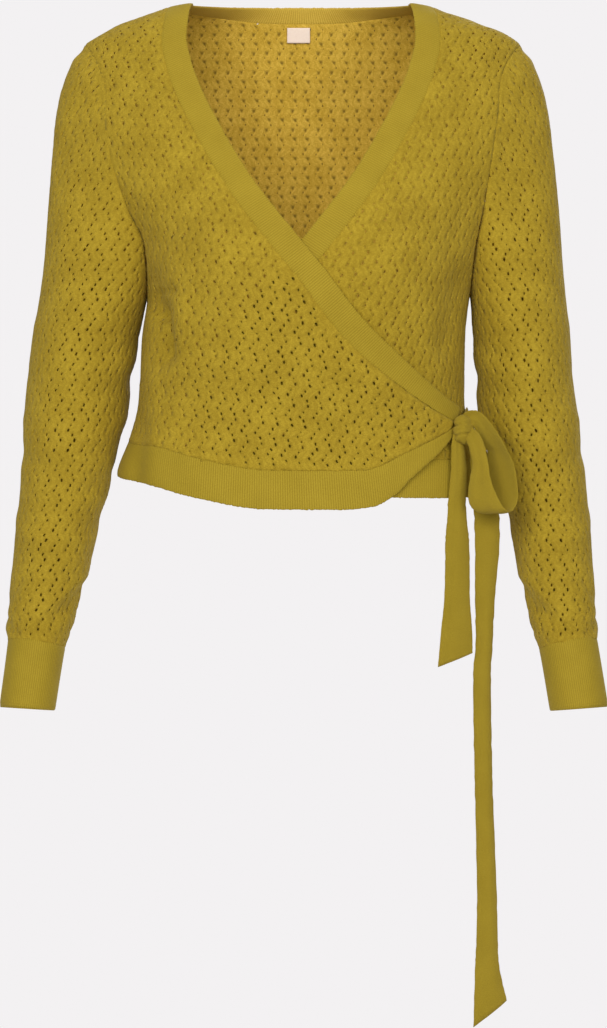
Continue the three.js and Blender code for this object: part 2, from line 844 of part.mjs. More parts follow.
// Ribbon tie. Each station gives the two edges of the ribbon, whose middle bows a little.
const LOOP_BOW = 1.2;
const LOOP_COLUMNS = ["xa", "ya", "za", "xb", "yb", "zb"];
const LOOP = [
  [143, -66, -388, 144, -66, -401],
  [150.5, -70, -380.5, 149, -68, -396],
  [160, -75, -380.3, 154.9, -70, -392.8],
  [169.7, -78, -388.6, 163.9, -70, -399.2],
  [178.5, -80, -401.3, 171.2, -68, -409.1],
  [186.6, -81, -415.7, 175, -66, -417.2],
  [192.9, -80, -430.1, 176, -64, -429.9],
  [195.6, -80, -447.3, 176, -64, -446.2],
  [195.4, -83, -460.8, 174.1, -66, -460.7],
  [190.5, -89, -471, 167.3, -73, -472],
  [183.7, -97, -470.5, 156.8, -84, -471.5],
  [177.3, -99, -461.8, 150.2, -88, -460.8],
  [170.2, -97, -444.7, 151.2, -87, -442.8],
  [167.9, -92, -428.5, 154, -84, -428.4],
  [165.5, -85, -413.1, 150.8, -79, -412],
  [160.6, -77, -400.4, 146.6, -73, -402.1],
  [152, -70, -393, 144, -67, -398],
].map((row) => named(LOOP_COLUMNS, row));

const RIBBON_CELLS = 4; // across the ribbon

// The tails hang down: left and right edges, depth and how far the middle bows forward, by height.
const TAIL_COLUMNS = ["z", "xa", "ya", "xb", "yb", "bow"];
const SHORT_TAIL = [
  [-401, 138, -71, 148, -66, 2],
  [-412, 136.4, -72, 148.4, -67, 2.5],
  [-424.4, 136.2, -72, 149.8, -67, 3],
  [-442.6, 135.2, -73, 150.6, -68, 3],
  [-460.7, 133.3, -74, 149.6, -69, 3],
  [-478.8, 132.3, -75, 150.4, -70, 3.5],
  [-496.9, 130.5, -75, 152.2, -70, 4],
  [-524.1, 130.4, -75, 153, -70, 3.5],
  [-551.2, 129.4, -76, 153, -71, 3],
  [-578.3, 126.7, -77, 155, -72, 2.5],
  [-596, 123.8, -77, 155.4, -72, 2],
];
const SHORT_END = { za: -611.7, zb: -599.1 };
const LONG_TAIL = [
  [-396, 148, -64, 158, -62, 2],
  [-412, 153, -61.5, 167, -59.5, 2],
  [-433.4, 154.5, -60, 176.3, -58, 2],
  [-460.7, 156.3, -60, 179, -58, 2.5],
  [-497, 158.1, -62, 180.8, -60, 3],
  [-551.5, 158, -64, 176.1, -62, 4],
  [-587.7, 158.6, -65, 174.3, -63, 4.5],
  [-624, 156.1, -66, 172.4, -64, 5],
  [-682.9, 156.9, -67, 173.2, -65, 4.5],
  [-728.1, 157.7, -68, 174.1, -66, 4.5],
  [-773.4, 158.7, -68, 175.9, -66, 4.5],
  [-818.7, 159.6, -68, 177.7, -66, 4],
  [-864.1, 158.7, -68, 178.6, -66, 4],
  [-886.7, 157.7, -68, 180.4, -66, 3.5],
  [-910, 156.2, -68, 186.6, -66, 2.5],
];
const LONG_END = { za: -938.4, zb: -914.5 };

// Ribbon grid from stations of edge points. The middle bows away from the straight line between them.
function ribbon(stations) {
  const across = steps(RIBBON_CELLS, (t) => t);
  const bare = stations.map(({ a, b }) => across.map((k) => mix(a, b, k)));
  return bare.map((row, j) => {
    const ahead = bare[Math.min(j + 1, bare.length - 1)];
    const behind = bare[Math.max(j - 1, 0)];
    return row.map((p, i) => {
      const n = ahead[i]
        .clone()
        .sub(behind[i])
        .cross(row[row.length - 1].clone().sub(row[0]))
        .normalize();
      const bow = 4 * across[i] * (1 - across[i]) * stations[j].bow;
      return { p: p.clone().addScaledVector(n, bow), n };
    });
  });
}

function tailStations(rows, end) {
  const stations = rows.map((row) => {
    const s = named(TAIL_COLUMNS, row);
    return { a: vec(s.xa, s.ya, s.z), b: vec(s.xb, s.yb, s.z), bow: s.bow };
  });
  const last = stations[stations.length - 1];
  last.a.z = end.za;
  last.b.z = end.zb;
  return stations;
}

// The knot: a rounded lump of wound ribbon, turned to lie against the body.
const KNOT = {
  centre: vec(147.7, -68.4, -397),
  turn: 50, // degrees from facing straight forward, towards the wearer's left
  half: { across: 10.5, deep: 8, tall: 13.5 },
  square: 2.6, // how boxy the lump is; 2 is an ellipsoid
  cells: { around: 20, down: 12 },
};

function knotGeometry(clear) {
  const sphere = new THREE.SphereGeometry(1, KNOT.cells.around, KNOT.cells.down);
  sphere.deleteAttribute("normal");
  sphere.deleteAttribute("uv");
  const geometry = mergeVertices(sphere);
  const { across, deep, tall } = KNOT.half;
  const position = geometry.getAttribute("position");
  for (let i = 0; i < position.count; i += 1) {
    const p = vec(0, 0, 0).fromBufferAttribute(position, i);
    const powers = p.toArray().map((part) => Math.abs(part) ** KNOT.square);
    p.multiplyScalar((powers[0] + powers[1] + powers[2]) ** (-1 / KNOT.square));
    position.setXYZ(
      i,
      p.x * (across + clear),
      p.z * (deep + clear),
      p.y * (tall + clear),
    );
  }
  geometry
    .rotateZ(degrees(KNOT.turn))
    .translate(KNOT.centre.x, KNOT.centre.y, KNOT.centre.z);
  const points = [];
  for (let i = 0; i < position.count; i += 1)
    points.push(vec(0, 0, 0).fromBufferAttribute(position, i));
  const index = [...geometry.getIndex().array];
  const faces = [];
  for (let i = 0; i < index.length; i += 3)
    if (new Set(index.slice(i, i + 3)).size === 3)
      faces.push(index.slice(i, i + 3));
  return solid(points, faces);
}

function toManifold(geometry) {
  return new wasm.Manifold(
    new wasm.Mesh({
      numProp: 3,
      vertProperties: new Float32Array(geometry.getAttribute("position").array),
      triVerts: new Uint32Array(geometry.getIndex().array),
    }),
  );
}

function fromManifold(made) {
  const mesh = made.getMesh();
  return new THREE.BufferGeometry()
    .setAttribute(
      "position",
      new THREE.Float32BufferAttribute(mesh.vertProperties, 3),
    )
    .setIndex([...mesh.triVerts]);
}

// What is left of a ribbon outside the knot: its largest piece.
function outsideKnot(geometry) {
  const rest = toManifold(geometry).subtract(
    toManifold(knotGeometry(KNOT_CLEAR)),
  );
  const pieces = rest.decompose().sort((a, b) => b.volume() - a.volume());
  return fromManifold(pieces[0]);
}

function makeTie() {
  add("tie_knot", knotGeometry(0), PLAIN);
  const loop = LOOP.map((s) => ({
    a: vec(s.xa, s.ya, s.za),
    b: vec(s.xb, s.yb, s.zb),
    bow: LOOP_BOW,
  }));
  const pieces = {
    bow_loop: loop,
    short_tail: tailStations(SHORT_TAIL, SHORT_END),
    long_tail: tailStations(LONG_TAIL, LONG_END),
  };
  for (const [name, stations] of Object.entries(pieces))
    add(name, outsideKnot(wall(ribbon(stations), RIBBON_WALL)), PLAIN);
}

// The strap from the left side seam forward to the knot: its upper and lower edges on the body, by the
// turn from the middle of the front, and how far it stands off.
const STRAP_CLEAR = 0.6; // gap between the strap and the lower front
const STRAP_COLUMNS = ["turn", "high", "low", "off"];
const STRAP = [
  [89.2, -374, -400, 0],
  [84, -375, -400, 0],
  [79, -377, -400, 0],
  [74, -380, -400, 1.5],
  [69.5, -383, -400, 4.5],
  [65.5, -386, -401, 8.5],
  [62, -388, -402, 12.5],
].map((row) => named(STRAP_COLUMNS, row));

function makeStrap() {
  const lift = STRAP_CLEAR + RIBBON_WALL;
  const grid = STRAP.map((s) =>
    [0, 0.5, 1].map((k) => {
      const z = s.high + (s.low - s.high) * k;
      const x = section(1, z, -1).half * Math.sin(degrees(s.turn));
      return cloth(formAt(x, z, -1), -1, "under", lift + s.off);
    }),
  );
  add("side_strap", outsideKnot(wall(grid, RIBBON_WALL)), PLAIN);
}

// The neck label, a blank rectangle on the inside of the back.
const LABEL_BOX = { left: -13.4, right: 8.6, top: -9.5, bottom: -23 };
const LABEL_WALL = 1;
const LABEL_CLEAR = 0.4; // gap between the label and the inside of the band
const LABEL_CELLS = { across: 4, down: 3 };

function makeLabel() {
  const { left, right, top, bottom } = LABEL_BOX;
  const inside = -(BAND_WALL + LABEL_CLEAR);
  const grid = steps(LABEL_CELLS.down, (v) =>
    steps(LABEL_CELLS.across, (u) =>
      cloth(
        formAt(left + (right - left) * u, top + (bottom - top) * v, 1),
        1,
        "back",
        inside,
      ),
    ),
  );
  add("neck_label", wall(grid, LABEL_WALL), LABEL);
}

makeFront({
  name: "right",
  hand: -1,
  layer: "upper",
  edgeEnd: UPPER_EDGE_END,
  hem: HEM_UPPER,
  hemEnd: 57,
  corner: { x: 136, z: -392 },
});
makeFront({
  name: "left",
  hand: 1,
  layer: "under",
  edgeEnd: UNDER_EDGE_END,
  hem: HEM_UNDER,
  hemEnd: -41,
  corner: { x: -101, z: -367 },
});
makeBack();
makeSleeve("right", -1);
makeSleeve("left", 1);
makeTie();
makeStrap();
makeLabel();

export default group;
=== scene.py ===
# %% [markdown]
# # A knitted wrap shrug in open net, in Blender
# The real garment is a cropped, long-sleeved shrug in fine mustard yarn, filled out as if it were worn.
# Its body and sleeves are a net with thousands of small holes; its bands, hems and cuffs are plain rib;
# a ribbon ties it at the hip. Each piece that a maker cuts and sews is one Blender object here, laid on
# the form that the CAD model has.

import math

import bpy
import numpy as np
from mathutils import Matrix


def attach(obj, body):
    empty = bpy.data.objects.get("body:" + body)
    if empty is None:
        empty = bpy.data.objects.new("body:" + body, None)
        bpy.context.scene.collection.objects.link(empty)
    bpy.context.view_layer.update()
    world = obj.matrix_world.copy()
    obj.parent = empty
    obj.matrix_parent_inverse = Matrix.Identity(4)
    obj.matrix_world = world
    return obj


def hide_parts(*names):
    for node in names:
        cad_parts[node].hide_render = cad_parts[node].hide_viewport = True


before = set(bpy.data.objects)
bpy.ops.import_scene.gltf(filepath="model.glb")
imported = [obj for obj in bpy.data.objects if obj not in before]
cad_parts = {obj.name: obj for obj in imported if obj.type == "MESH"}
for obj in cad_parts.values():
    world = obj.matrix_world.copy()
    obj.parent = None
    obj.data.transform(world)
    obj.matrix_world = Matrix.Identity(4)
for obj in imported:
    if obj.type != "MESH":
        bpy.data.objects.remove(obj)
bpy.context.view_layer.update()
MM = 0.001
print("CAD nodes:", len(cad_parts))

# %% [markdown]
# ## The camera
# The photo is taken straight from the front, from far away, so the garment shows almost no perspective.
# A camera is placed at the height of the garment's middle; its angle of view comes from the
# picture's height.

# %% Camera
CAMERA_AWAY = 2.6
MIDDLE_X, MIDDLE_HEIGHT, HALF_PICTURE = 0.0023, -0.4734, 0.47802
camera_data = bpy.data.cameras.new("camera")
camera_data.sensor_fit = "VERTICAL"
camera_data.sensor_height = 24
camera_data.lens = camera_data.sensor_height / 2 * CAMERA_AWAY / HALF_PICTURE
camera = bpy.data.objects.new("camera", camera_data)
camera.location = (MIDDLE_X, -CAMERA_AWAY, MIDDLE_HEIGHT)
camera.rotation_euler = (math.pi / 2, 0, 0)
bpy.context.scene.collection.objects.link(camera)
bpy.context.scene.camera = camera
print("lens", round(camera_data.lens, 1), "mm")

# %% [markdown]
# ## Light and floor
# A studio lights such a garment with large soft boxes and a pale room around it. Area lights stand for
# the boxes and the world's even colour for the room, which lights the cloth less than it shows in the
# picture. The floor is a small pale disc, low enough to stay out of the front view.

# %% World, lights and floor
world = bpy.data.worlds.new("studio")
world.use_nodes = True
room = world.node_tree.nodes["Background"]
ROOM_COLOUR, ROOM_LIGHT = (0.896, 0.879, 0.888, 1), 0.42
room.inputs["Color"].default_value = ROOM_COLOUR
seen = world.node_tree.nodes.new("ShaderNodeLightPath")
brightness = world.node_tree.nodes.new("ShaderNodeMapRange")
brightness.inputs["To Min"].default_value = ROOM_LIGHT
world.node_tree.links.new(seen.outputs["Is Camera Ray"], brightness.inputs["Value"])
world.node_tree.links.new(brightness.outputs["Result"], room.inputs["Strength"])
bpy.context.scene.world = world
bpy.context.scene.view_settings.view_transform = "Standard"


def soft_box(name, place, target, size, watts):
    data = bpy.data.lights.new(name, "AREA")
    data.energy = watts
    data.size = size
    lamp = bpy.data.objects.new(name, data)
    lamp.location = place
    way = np.array(target, float) - np.array(place, float)
    yaw = math.atan2(way[1], way[0]) - math.pi / 2
    lamp.rotation_euler = (math.acos(-way[2] / np.linalg.norm(way)), 0, yaw)
    bpy.context.scene.collection.objects.link(lamp)


soft_box("key_light", (-0.7, -2.4, 0.45), (0, 0, -0.35), 1.5, 45)
soft_box("fill_light", (1.0, -2.3, 0.1), (0, 0, -0.4), 1.6, 25)
soft_box("top_light", (0, 0.1, 2.0), (0, 0, -0.3), 1.6, 12)
soft_box("back_light", (0.7, 2.4, 0.5), (0, 0, -0.4), 1.8, 44)

FLOOR_HEIGHT, FLOOR_RADIUS = -1.15, 0.98
FLOOR_COLOUR = (0.85, 0.84, 0.845, 1)
turns = np.linspace(0, 2 * math.pi, 97)[:-1]
rim = [(FLOOR_RADIUS * math.cos(a), FLOOR_RADIUS * math.sin(a), FLOOR_HEIGHT) for a in turns]
floor_mesh = bpy.data.meshes.new("floor")
floor_mesh.from_pydata(rim, [], [list(range(len(rim)))])
floor = bpy.data.objects.new("floor", floor_mesh)
bpy.context.scene.collection.objects.link(floor)
floor_paint = bpy.data.materials.new("floor_paint")
floor_paint.use_nodes = True
floor_shader = floor_paint.node_tree.nodes["Principled BSDF"]
floor_shader.inputs["Base Color"].default_value = FLOOR_COLOUR
floor_shader.inputs["Roughness"].default_value = 0.9
floor_mesh.materials.append(floor_paint)

# %% [markdown]
# ## Measured tables as smooth curves
# The worn form is written down as a few measured rows, in millimetres, the same ones as in the CAD
# source. A monotone cubic joins the rows, because it never swings past a measured value as an ordinary
# spline does.

# %% Smooth curve through table rows


def curve(rows, column):
    rows = sorted(rows)
    xs = np.array([r[0] for r in rows], float)
    ys = np.array([r[column] for r in rows], float)
    step = np.diff(xs)
    rise = np.diff(ys) / step
    slope = np.zeros(len(xs))
    slope[0], slope[-1] = rise[0], rise[-1]
    for i in range(1, len(xs) - 1):
        if rise[i - 1] * rise[i] > 0:
            before, after = 2 * step[i] + step[i - 1], step[i] + 2 * step[i - 1]
            slope[i] = (before + after) / (before / rise[i - 1] + after / rise[i])

    def value(x):
        x = np.clip(np.asarray(x, float), xs[0], xs[-1])
        i = np.clip(np.searchsorted(xs, x) - 1, 0, len(xs) - 2)
        t = (x - xs[i]) / step[i]
        u = 1 - t
        return (
            ys[i] * u * u * (1 + 2 * t)
            + slope[i] * step[i] * t * u * u
            + ys[i + 1] * t * t * (3 - 2 * t)
            - slope[i + 1] * step[i] * t * t * u
        )

    return value


# %% The worn body: half-widths and depths by height
# z, half-width to the wearer's right, and to the left
WIDTH = [
    (12, 62, 62), (0, 100, 100), (-3, 122, 122), (-8.4, 139.5, 137), (-14, 155.5, 155.5),
    (-19.6, 171, 169.5), (-25.5, 181.5, 186), (-31, 191, 196), (-38, 201, 204), (-70, 212, 215),
    (-95, 212, 216), (-130, 205, 206), (-169, 187, 191), (-196, 171, 181), (-228, 150, 168),
    (-270, 143, 157), (-312, 148, 152.5), (-367, 150.5, 151.8), (-405, 160, 158), (-437, 171, 165),
    (-472, 172.5, 168.5),
]
# z, depth to the front, to the back, and how square the section is in front and behind
DEPTH = [
    (12, 38, 57, 2, 2), (0, 45, 61.5, 2, 2), (-38, 61, 75.5, 2, 2.1), (-95, 84, 93, 2.15, 2.5),
    (-130, 96.5, 98, 2.25, 2.8), (-169, 107.5, 99.5, 2.3, 3), (-228, 118, 93, 2.3, 3),
    (-270, 120, 86, 2.3, 2.8), (-330, 112, 77.5, 2.3, 2.6), (-386, 104, 75.5, 2.3, 2.5),
    (-440, 102.5, 80.5, 2.3, 2.5), (-472, 104, 84, 2.3, 2.5),
]
FRONT, BACK = -1, 1
right_half, left_half = curve(WIDTH, 1), curve(WIDTH, 2)
depth_of = {FRONT: curve(DEPTH, 1), BACK: curve(DEPTH, 2)}
square_of = {FRONT: curve(DEPTH, 3), BACK: curve(DEPTH, 4)}
print("bust half-width", float(right_half(-95)), "mm")

# %% [markdown]
# ## Points on the form
# Each level section is a squared-off ellipse. Three helpers are enough for every piece: the way out of
# the form at a point, a step that seats a point on it, and the point straight in front of or behind a
# place in the front view.

# %% Form helpers


def ease(x):
    t = np.clip(x, 0, 1)
    return t * t * (3 - 2 * t)


def unit(v):
    return v / np.maximum(np.linalg.norm(v, axis=-1, keepdims=True), 1e-9)


def section(x, z, side):
    return np.where(np.asarray(x) < 0, right_half(z), left_half(z)), depth_of[side](z), square_of[side](z)


def way_out(p, side):
    x, y, z = p[..., 0], p[..., 1], p[..., 2]
    half, deep, square = section(x, z, side)
    half_up, deep_up, _ = section(x, z + 0.5, side)
    half_low, deep_low, _ = section(x, z - 0.5, side)
    across, along = np.abs(x) / half, np.abs(y) / deep
    value = across**square + along**square - 1
    widens = across**square * (half_up - half_low) / half
    deepens = along**square * (deep_up - deep_low) / deep
    way = np.stack(
        [
            square * across ** (square - 1) * np.sign(x) / half,
            square * along ** (square - 1) * side / deep,
            -square * (widens + deepens),
        ],
        -1,
    )
    return value, way


SEAT_ROUNDS, HALVINGS = 12, 40
NECK_TOP, NECK_TOP_HALF, SHOULDER_TIP = 12.0, 62, -38.0


def seat(p, side):
    p = p.copy()
    for _ in range(SEAT_ROUNDS):
        value, way = way_out(p, side)
        p -= way * (value / np.maximum((way * way).sum(-1), 1e-9))[..., None]
        p[..., 1] = np.where(p[..., 1] * side < 0, 0, p[..., 1])
    return p


def form_at(x, z, side):
    x, z = np.broadcast_arrays(np.asarray(x, float), np.asarray(z, float))
    half, deep, square = section(x, z, side)
    across = np.minimum(1, np.abs(x) / half)
    return np.stack([x, side * deep * (1 - across**square) ** (1 / square), z], -1)


def shoulder_height(x, low=SHOULDER_TIP):
    x = np.asarray(x, float)
    low, high = np.full(x.shape, low), np.full(x.shape, NECK_TOP)
    for _ in range(HALVINGS):
        middle = (low + high) / 2
        wider = section(x, middle, FRONT)[0] > np.abs(x)
        low, high = np.where(wider, middle, low), np.where(wider, high, middle)
    return (low + high) / 2


print("bust point", form_at(-74.0, -240.0, FRONT).round(1))

# %% [markdown]
# ## Folds
# Worn cloth is never smooth: it drags from the tie, creases at the armholes and falls in soft troughs
# at the back. A cloth simulation would move the whole outline, so the folds are listed one by one: each is
# a short line on the body with a width and a depth, and the cloth rises or sinks around it. The longer
# ones are those of the CAD model.

# %% Folds on the body
# x and z of both ends, width, depth; out is positive
FRONT_FOLDS = [
    (-74, -236, -74, -246, 46, 8), (74, -236, 74, -246, 46, 8), (-136, -262, -121, -334, 10, -5),
    (-112, -250, -100, -300, 12, 2.5), (146, -258, 132, -322, 11, -4), (128, -392, 20, -336, 13, 2.5),
    (120, -404, 10, -398, 11, -2.5), (-146, -388, -150, -440, 10, -3.5),
]
BACK_FOLDS = [
    (-72, -318, -66, -452, 17, 4.5), (-24, -344, -30, -452, 13, -3), (36, -330, 44, -452, 16, 4),
    (88, -350, 96, -452, 14, -3.5), (-128, -250, -96, -322, 13, -4), (130, -246, 98, -316, 14, -4),
]
FINE_FRONT_FOLDS = [
    (-139, -276, -130, -292, 6.5, -8), (-134, -272, -112, -272, 4, -3),
    (-124, -284, -120, -330, 5.5, -4.5), (-106, -284, -108, -318, 8, 2.5),
    (-128, -338, -122, -372, 6, -1.6), (118, -398, 62, -370, 6, 1.4), (112, -385, 40, -352, 6, -1.2),
    (-118, -392, -92, -440, 9, 1.3), (-60, -410, -40, -448, 10, -1), (-150, -330, -128, -352, 7, 1.2),
    (150, -196, 132, -236, 7, -1.4), (-152, -190, -138, -228, 6, -1.2), (60, -120, 78, -170, 12, -1),
]
FINE_BACK_FOLDS = [
    (-146, -300, -112, -356, 7, -1.4), (148, -296, 118, -344, 7, 1.2), (-104, -372, -108, -440, 8, 1.3),
    (8, -388, 2, -448, 8, 1.1), (66, -396, 70, -446, 7, -1.2), (-150, -200, -134, -240, 7, -1.2),
    (152, -204, 134, -236, 7, -1.3), (-20, -52, 24, -58, 12, -1.2), (-70, -120, -40, -210, 15, 1),
]
folds_of = {FRONT: FRONT_FOLDS + FINE_FRONT_FOLDS, BACK: BACK_FOLDS + FINE_BACK_FOLDS}


def fold_depth(folds, x, z):
    total = np.zeros(np.shape(x))
    for x0, z0, x1, z1, wide, deep in folds:
        dx, dz = x1 - x0, z1 - z0
        t = np.clip(((x - x0) * dx + (z - z0) * dz) / (dx * dx + dz * dz), 0, 1)
        away = np.hypot(x - x0 - t * dx, z - z0 - t * dz) / wide
        total += deep * np.exp(-away * away)
    return total


print("folds:", {side: len(folds) for side, folds in folds_of.items()})

# %% [markdown]
# ## Two fronts that cross
# The wearer's right front lies on top. Near its edge it stands off the form, so that the left front has
# room under it, and its corner lifts a little more where it runs into the tie.

# %% From the bare form to the cloth on it
# z, distance of a front's edge from the middle, on the side where it starts
FRONT_EDGE = [
    (0, 100), (-13, 103), (-37, 104.5), (-57, 101), (-80, 93.5), (-121, 74), (-168, 47), (-214, 13),
    (-251, -16.6), (-296, -51.4), (-331, -87), (-363, -123), (-377, -141),
]
edge_at = curve(FRONT_EDGE, 1)
# the upper front rises before the edge of the front below it, and a little more towards the tie
OVERLAP, RISE_BEFORE, RISE_OVER, UNDER_END = 4.2, 44, 28, -112
TIE_LIFT, TIE_FROM, TIE_OVER = 1.5, 70, 50
# the armhole is an oval in side view; folds die away at the side seams and at the armholes
ARM_MID, ARM_HALF = -154.0, 116.0
ARM_DEEP = {FRONT: 57.0, BACK: 62.0}
SEAM_CALM, FOLD_FADE = 22, 0.1


def in_armhole(p, side=None):
    """How far a point lies from the middle of the armhole's oval: 1 on its edge. Without a side, each
    point takes the side that it is on."""
    deep = ARM_DEEP[side] if side else np.where(p[..., 1] < 0, ARM_DEEP[FRONT], ARM_DEEP[BACK])
    return np.hypot(p[..., 1] / deep, (p[..., 2] - ARM_MID) / ARM_HALF)


def cloth(seated, side, upper=False, lift=0.0):
    """Place on the cloth's outer face, and the way out, for points that lie on the form."""
    normal = unit(way_out(seated, side)[1])
    x, z = seated[..., 0], seated[..., 2]
    at_seam = 1 - np.minimum(1, np.abs(x) / section(x, z, side)[0]) ** SEAM_CALM
    off_sleeve = ease((in_armhole(seated, side) - 1) / FOLD_FADE)
    out = fold_depth(folds_of[side], x, z) * at_seam * off_sleeve + lift
    if upper:
        edge = np.maximum(edge_at(z), UNDER_END)
        out = out + OVERLAP * ease((x - edge + RISE_BEFORE) / RISE_OVER)
        out = out + TIE_LIFT * ease((x - TIE_FROM) / TIE_OVER)
    return seated + normal * np.asarray(out)[..., None], normal


print("upper front stands off", OVERLAP, "mm")

# %% [markdown]
# ## Flat cloth and worn cloth
# The net's holes are all one size on the flat cloth, so they can't be drawn on the curved form
# directly. A chart ties the two together: for each place on the flat cloth, across and up in
# millimetres, it holds the point of the form. Below the bust line, places go round the body at their
# level; above it, they walk up and over the shoulder.

# %% Charts between flat cloth and form
CHART_STEP = 2.0
FLAT_ACROSS, FLAT_UP = (-330, 331), (-490, 70)
BUST_LINE = -95.0
CLIMBS_TO, PAST_SIDE = (-211.9, 215.9), 212


def lengths(line):
    return np.concatenate([[0], np.cumsum(np.linalg.norm(np.diff(line, axis=0), axis=1))])


def level_line(z, side):
    turn = np.radians(np.linspace(-140, 140, 561))
    half, deep, square = section(np.sin(turn), np.full(turn.shape, z), side)
    x = half * np.sign(np.sin(turn)) * np.abs(np.sin(turn)) ** (2 / square)
    y = side * deep * np.sign(np.cos(turn)) * np.abs(np.cos(turn)) ** (2 / square)
    line = np.stack([x, y, np.full(turn.shape, z)], -1)
    reach = lengths(line)
    return reach - reach[len(turn) // 2], line


def climb_line(x, side):
    over = abs(x) > NECK_TOP_HALF
    top = float(shoulder_height(x, BUST_LINE)) if over else NECK_TOP
    q = np.linspace(0, 1, 160)
    z = BUST_LINE + (top - BUST_LINE) * (1 - (1 - q) ** 2)
    line = form_at(np.full(z.shape, x), z, side)
    line[-1, 1] = 0 if over else line[-2, 1]
    beyond = line[-2::-1] * (1, -1, 1) if over else line[-1] + np.outer(np.arange(1, 40), (0, 0, 1))
    line = np.concatenate([line, beyond])
    return lengths(line), line


def spread(reach, line, at):
    return np.stack([np.interp(at, reach, line[:, k]) for k in range(3)], -1)


def body_chart(side):
    s = np.arange(*FLAT_ACROSS, CHART_STEP)
    v = np.arange(*FLAT_UP, CHART_STEP)
    points = np.zeros((len(v), len(s), 3))
    for j, level in enumerate(v):
        if level <= BUST_LINE:
            points[j] = spread(*level_line(level, side), s)
    above = v > BUST_LINE
    reach, line = level_line(BUST_LINE, side)
    ends = reach[line[:, 0].argmin()], reach[line[:, 0].argmax()]
    start = spread(reach, line, s)
    for i in range(len(s)):
        x = np.clip(start[i, 0], *CLIMBS_TO)
        points[above, i] = spread(*climb_line(x, side), v[above] - BUST_LINE)
        past = s[i] - np.clip(s[i], *ends)
        points[above, i, 0] = np.where(past == 0, points[above, i, 0], np.sign(past) * PAST_SIDE + past)
    return {"s0": s[0], "v0": v[0], "points": points}


def look_up(chart, s, v, what="points"):
    grid = chart[what]
    a = np.clip((s - chart["s0"]) / CHART_STEP, 0, grid.shape[1] - 1.001)
    b = np.clip((v - chart["v0"]) / CHART_STEP, 0, grid.shape[0] - 1.001)
    i, j = a.astype(int), b.astype(int)
    a, b = (a - i)[..., None], (b - j)[..., None]
    low = grid[j, i] * (1 - a) + grid[j, i + 1] * a
    high = grid[j + 1, i] * (1 - a) + grid[j + 1, i + 1] * a
    return low * (1 - b) + high * b


def flatten(chart, line):
    """Places on the flat cloth of points that lie on the form."""
    grid = chart["points"]
    rows, columns = grid.shape[:2]
    flat = grid.reshape(-1, 3)
    found = []
    for p in line:
        near = int(((flat - p) ** 2).sum(1).argmin())
        j = min(max(near // columns, 1), rows - 2)
        i = min(max(near % columns, 1), columns - 2)
        along_s = (grid[j, i + 1] - grid[j, i - 1]) / 2
        along_v = (grid[j + 1, i] - grid[j - 1, i]) / 2
        step, *_ = np.linalg.lstsq(np.stack([along_s, along_v], -1), p - grid[j, i], rcond=None)
        step = np.clip(step, -1, 1)
        s, v = chart["s0"] + (i + step[0]) * CHART_STEP, chart["v0"] + (j + step[1]) * CHART_STEP
        found.append((s, v))
    return np.array(found)


charts = {side: body_chart(side) for side in (FRONT, BACK)}
print("chart of the front:", charts[FRONT]["points"].shape)

# %% [markdown]
# ## Border lines of the body pieces
# The maker's pattern: armholes, shoulder seams, front edges and hems, each as a line on the form. A
# band is what lies between an edge and a line a band's width beside it.

# %% Border lines
SEAM = 0.5
BAND_WIDE, BAND_END_WIDE, BAND_TAPER = 23.0, 15.0, 70.0
NECK_HALF, NECK_RISE, NECK_BACK_WIDE = 100.0, 8.0, 15.0
BESIDE_MOVES = 6


def armhole_point(turn, hand, side, covers=0.0):
    """A point of the armhole's edge; a piece that covers the seam reaches that far over it."""
    turn = np.asarray(turn, float)
    z = ARM_MID + ARM_HALF * np.cos(turn)
    y = (ARM_DEEP[side] - covers) * np.sin(turn)
    half, deep, square = section(np.full(z.shape, hand), z, side)
    x = half * (1 - np.abs(y / deep) ** square) ** (1 / square)
    return np.stack([hand * x, side * y, z], -1)


def shoulder_line(hand, inner):
    tip = abs(float(armhole_point(0.0, hand, FRONT)[0]))
    x = hand * np.linspace(tip, inner, 60)
    return np.stack([x, 0 * x, shoulder_height(x)], -1)


def side_line(hand, low):
    z = np.linspace(low, ARM_MID - ARM_HALF, 80)
    return np.stack([hand * section(np.full(z.shape, hand), z, FRONT)[0], 0 * z, z], -1)


def beside(line, side, width, towards):
    run = unit(np.concatenate([line[1:], line[-1:]]) - np.concatenate([line[:1], line[:-1]]))
    across = unit(np.cross(run, unit(way_out(line, side)[1])))
    moved = line.copy()
    for _ in range(BESIDE_MOVES):
        moved = seat(moved + across * (towards * width / BESIDE_MOVES)[:, None], side)
    return moved


def end_at(line, target, part=0.16):
    t = np.linspace(0, 1, len(line))
    return line + (target - line[-1]) * ease(1 - (1 - t) / part)[:, None]


def resample(line, count):
    reach = lengths(line)
    return spread(reach, line, np.linspace(0, reach[-1], count))


right_armhole = armhole_point(np.linspace(0, math.pi, 60), -1, FRONT)
print("right armhole", round(lengths(right_armhole)[-1]), "mm in front")

# %% [markdown]
# ## From outline and thickness to a mesh
# Every cloth piece is a closed thin shell: an outer face, an inner face and a rim that joins them. The
# flat place of each vertex is kept as its UV, in millimetres, so that materials can draw stitches that
# follow the cloth.


def open_edges(quads, count):
    """The edges that only one quad has, as pairs of vertex numbers; there are count vertices."""
    edges = np.concatenate([quads[:, [k, (k + 1) % 4]] for k in range(4)])
    code = edges.min(1).astype(np.int64) * count + edges.max(1)
    _, first, times = np.unique(code, return_index=True, return_counts=True)
    return edges[first[times == 1]]


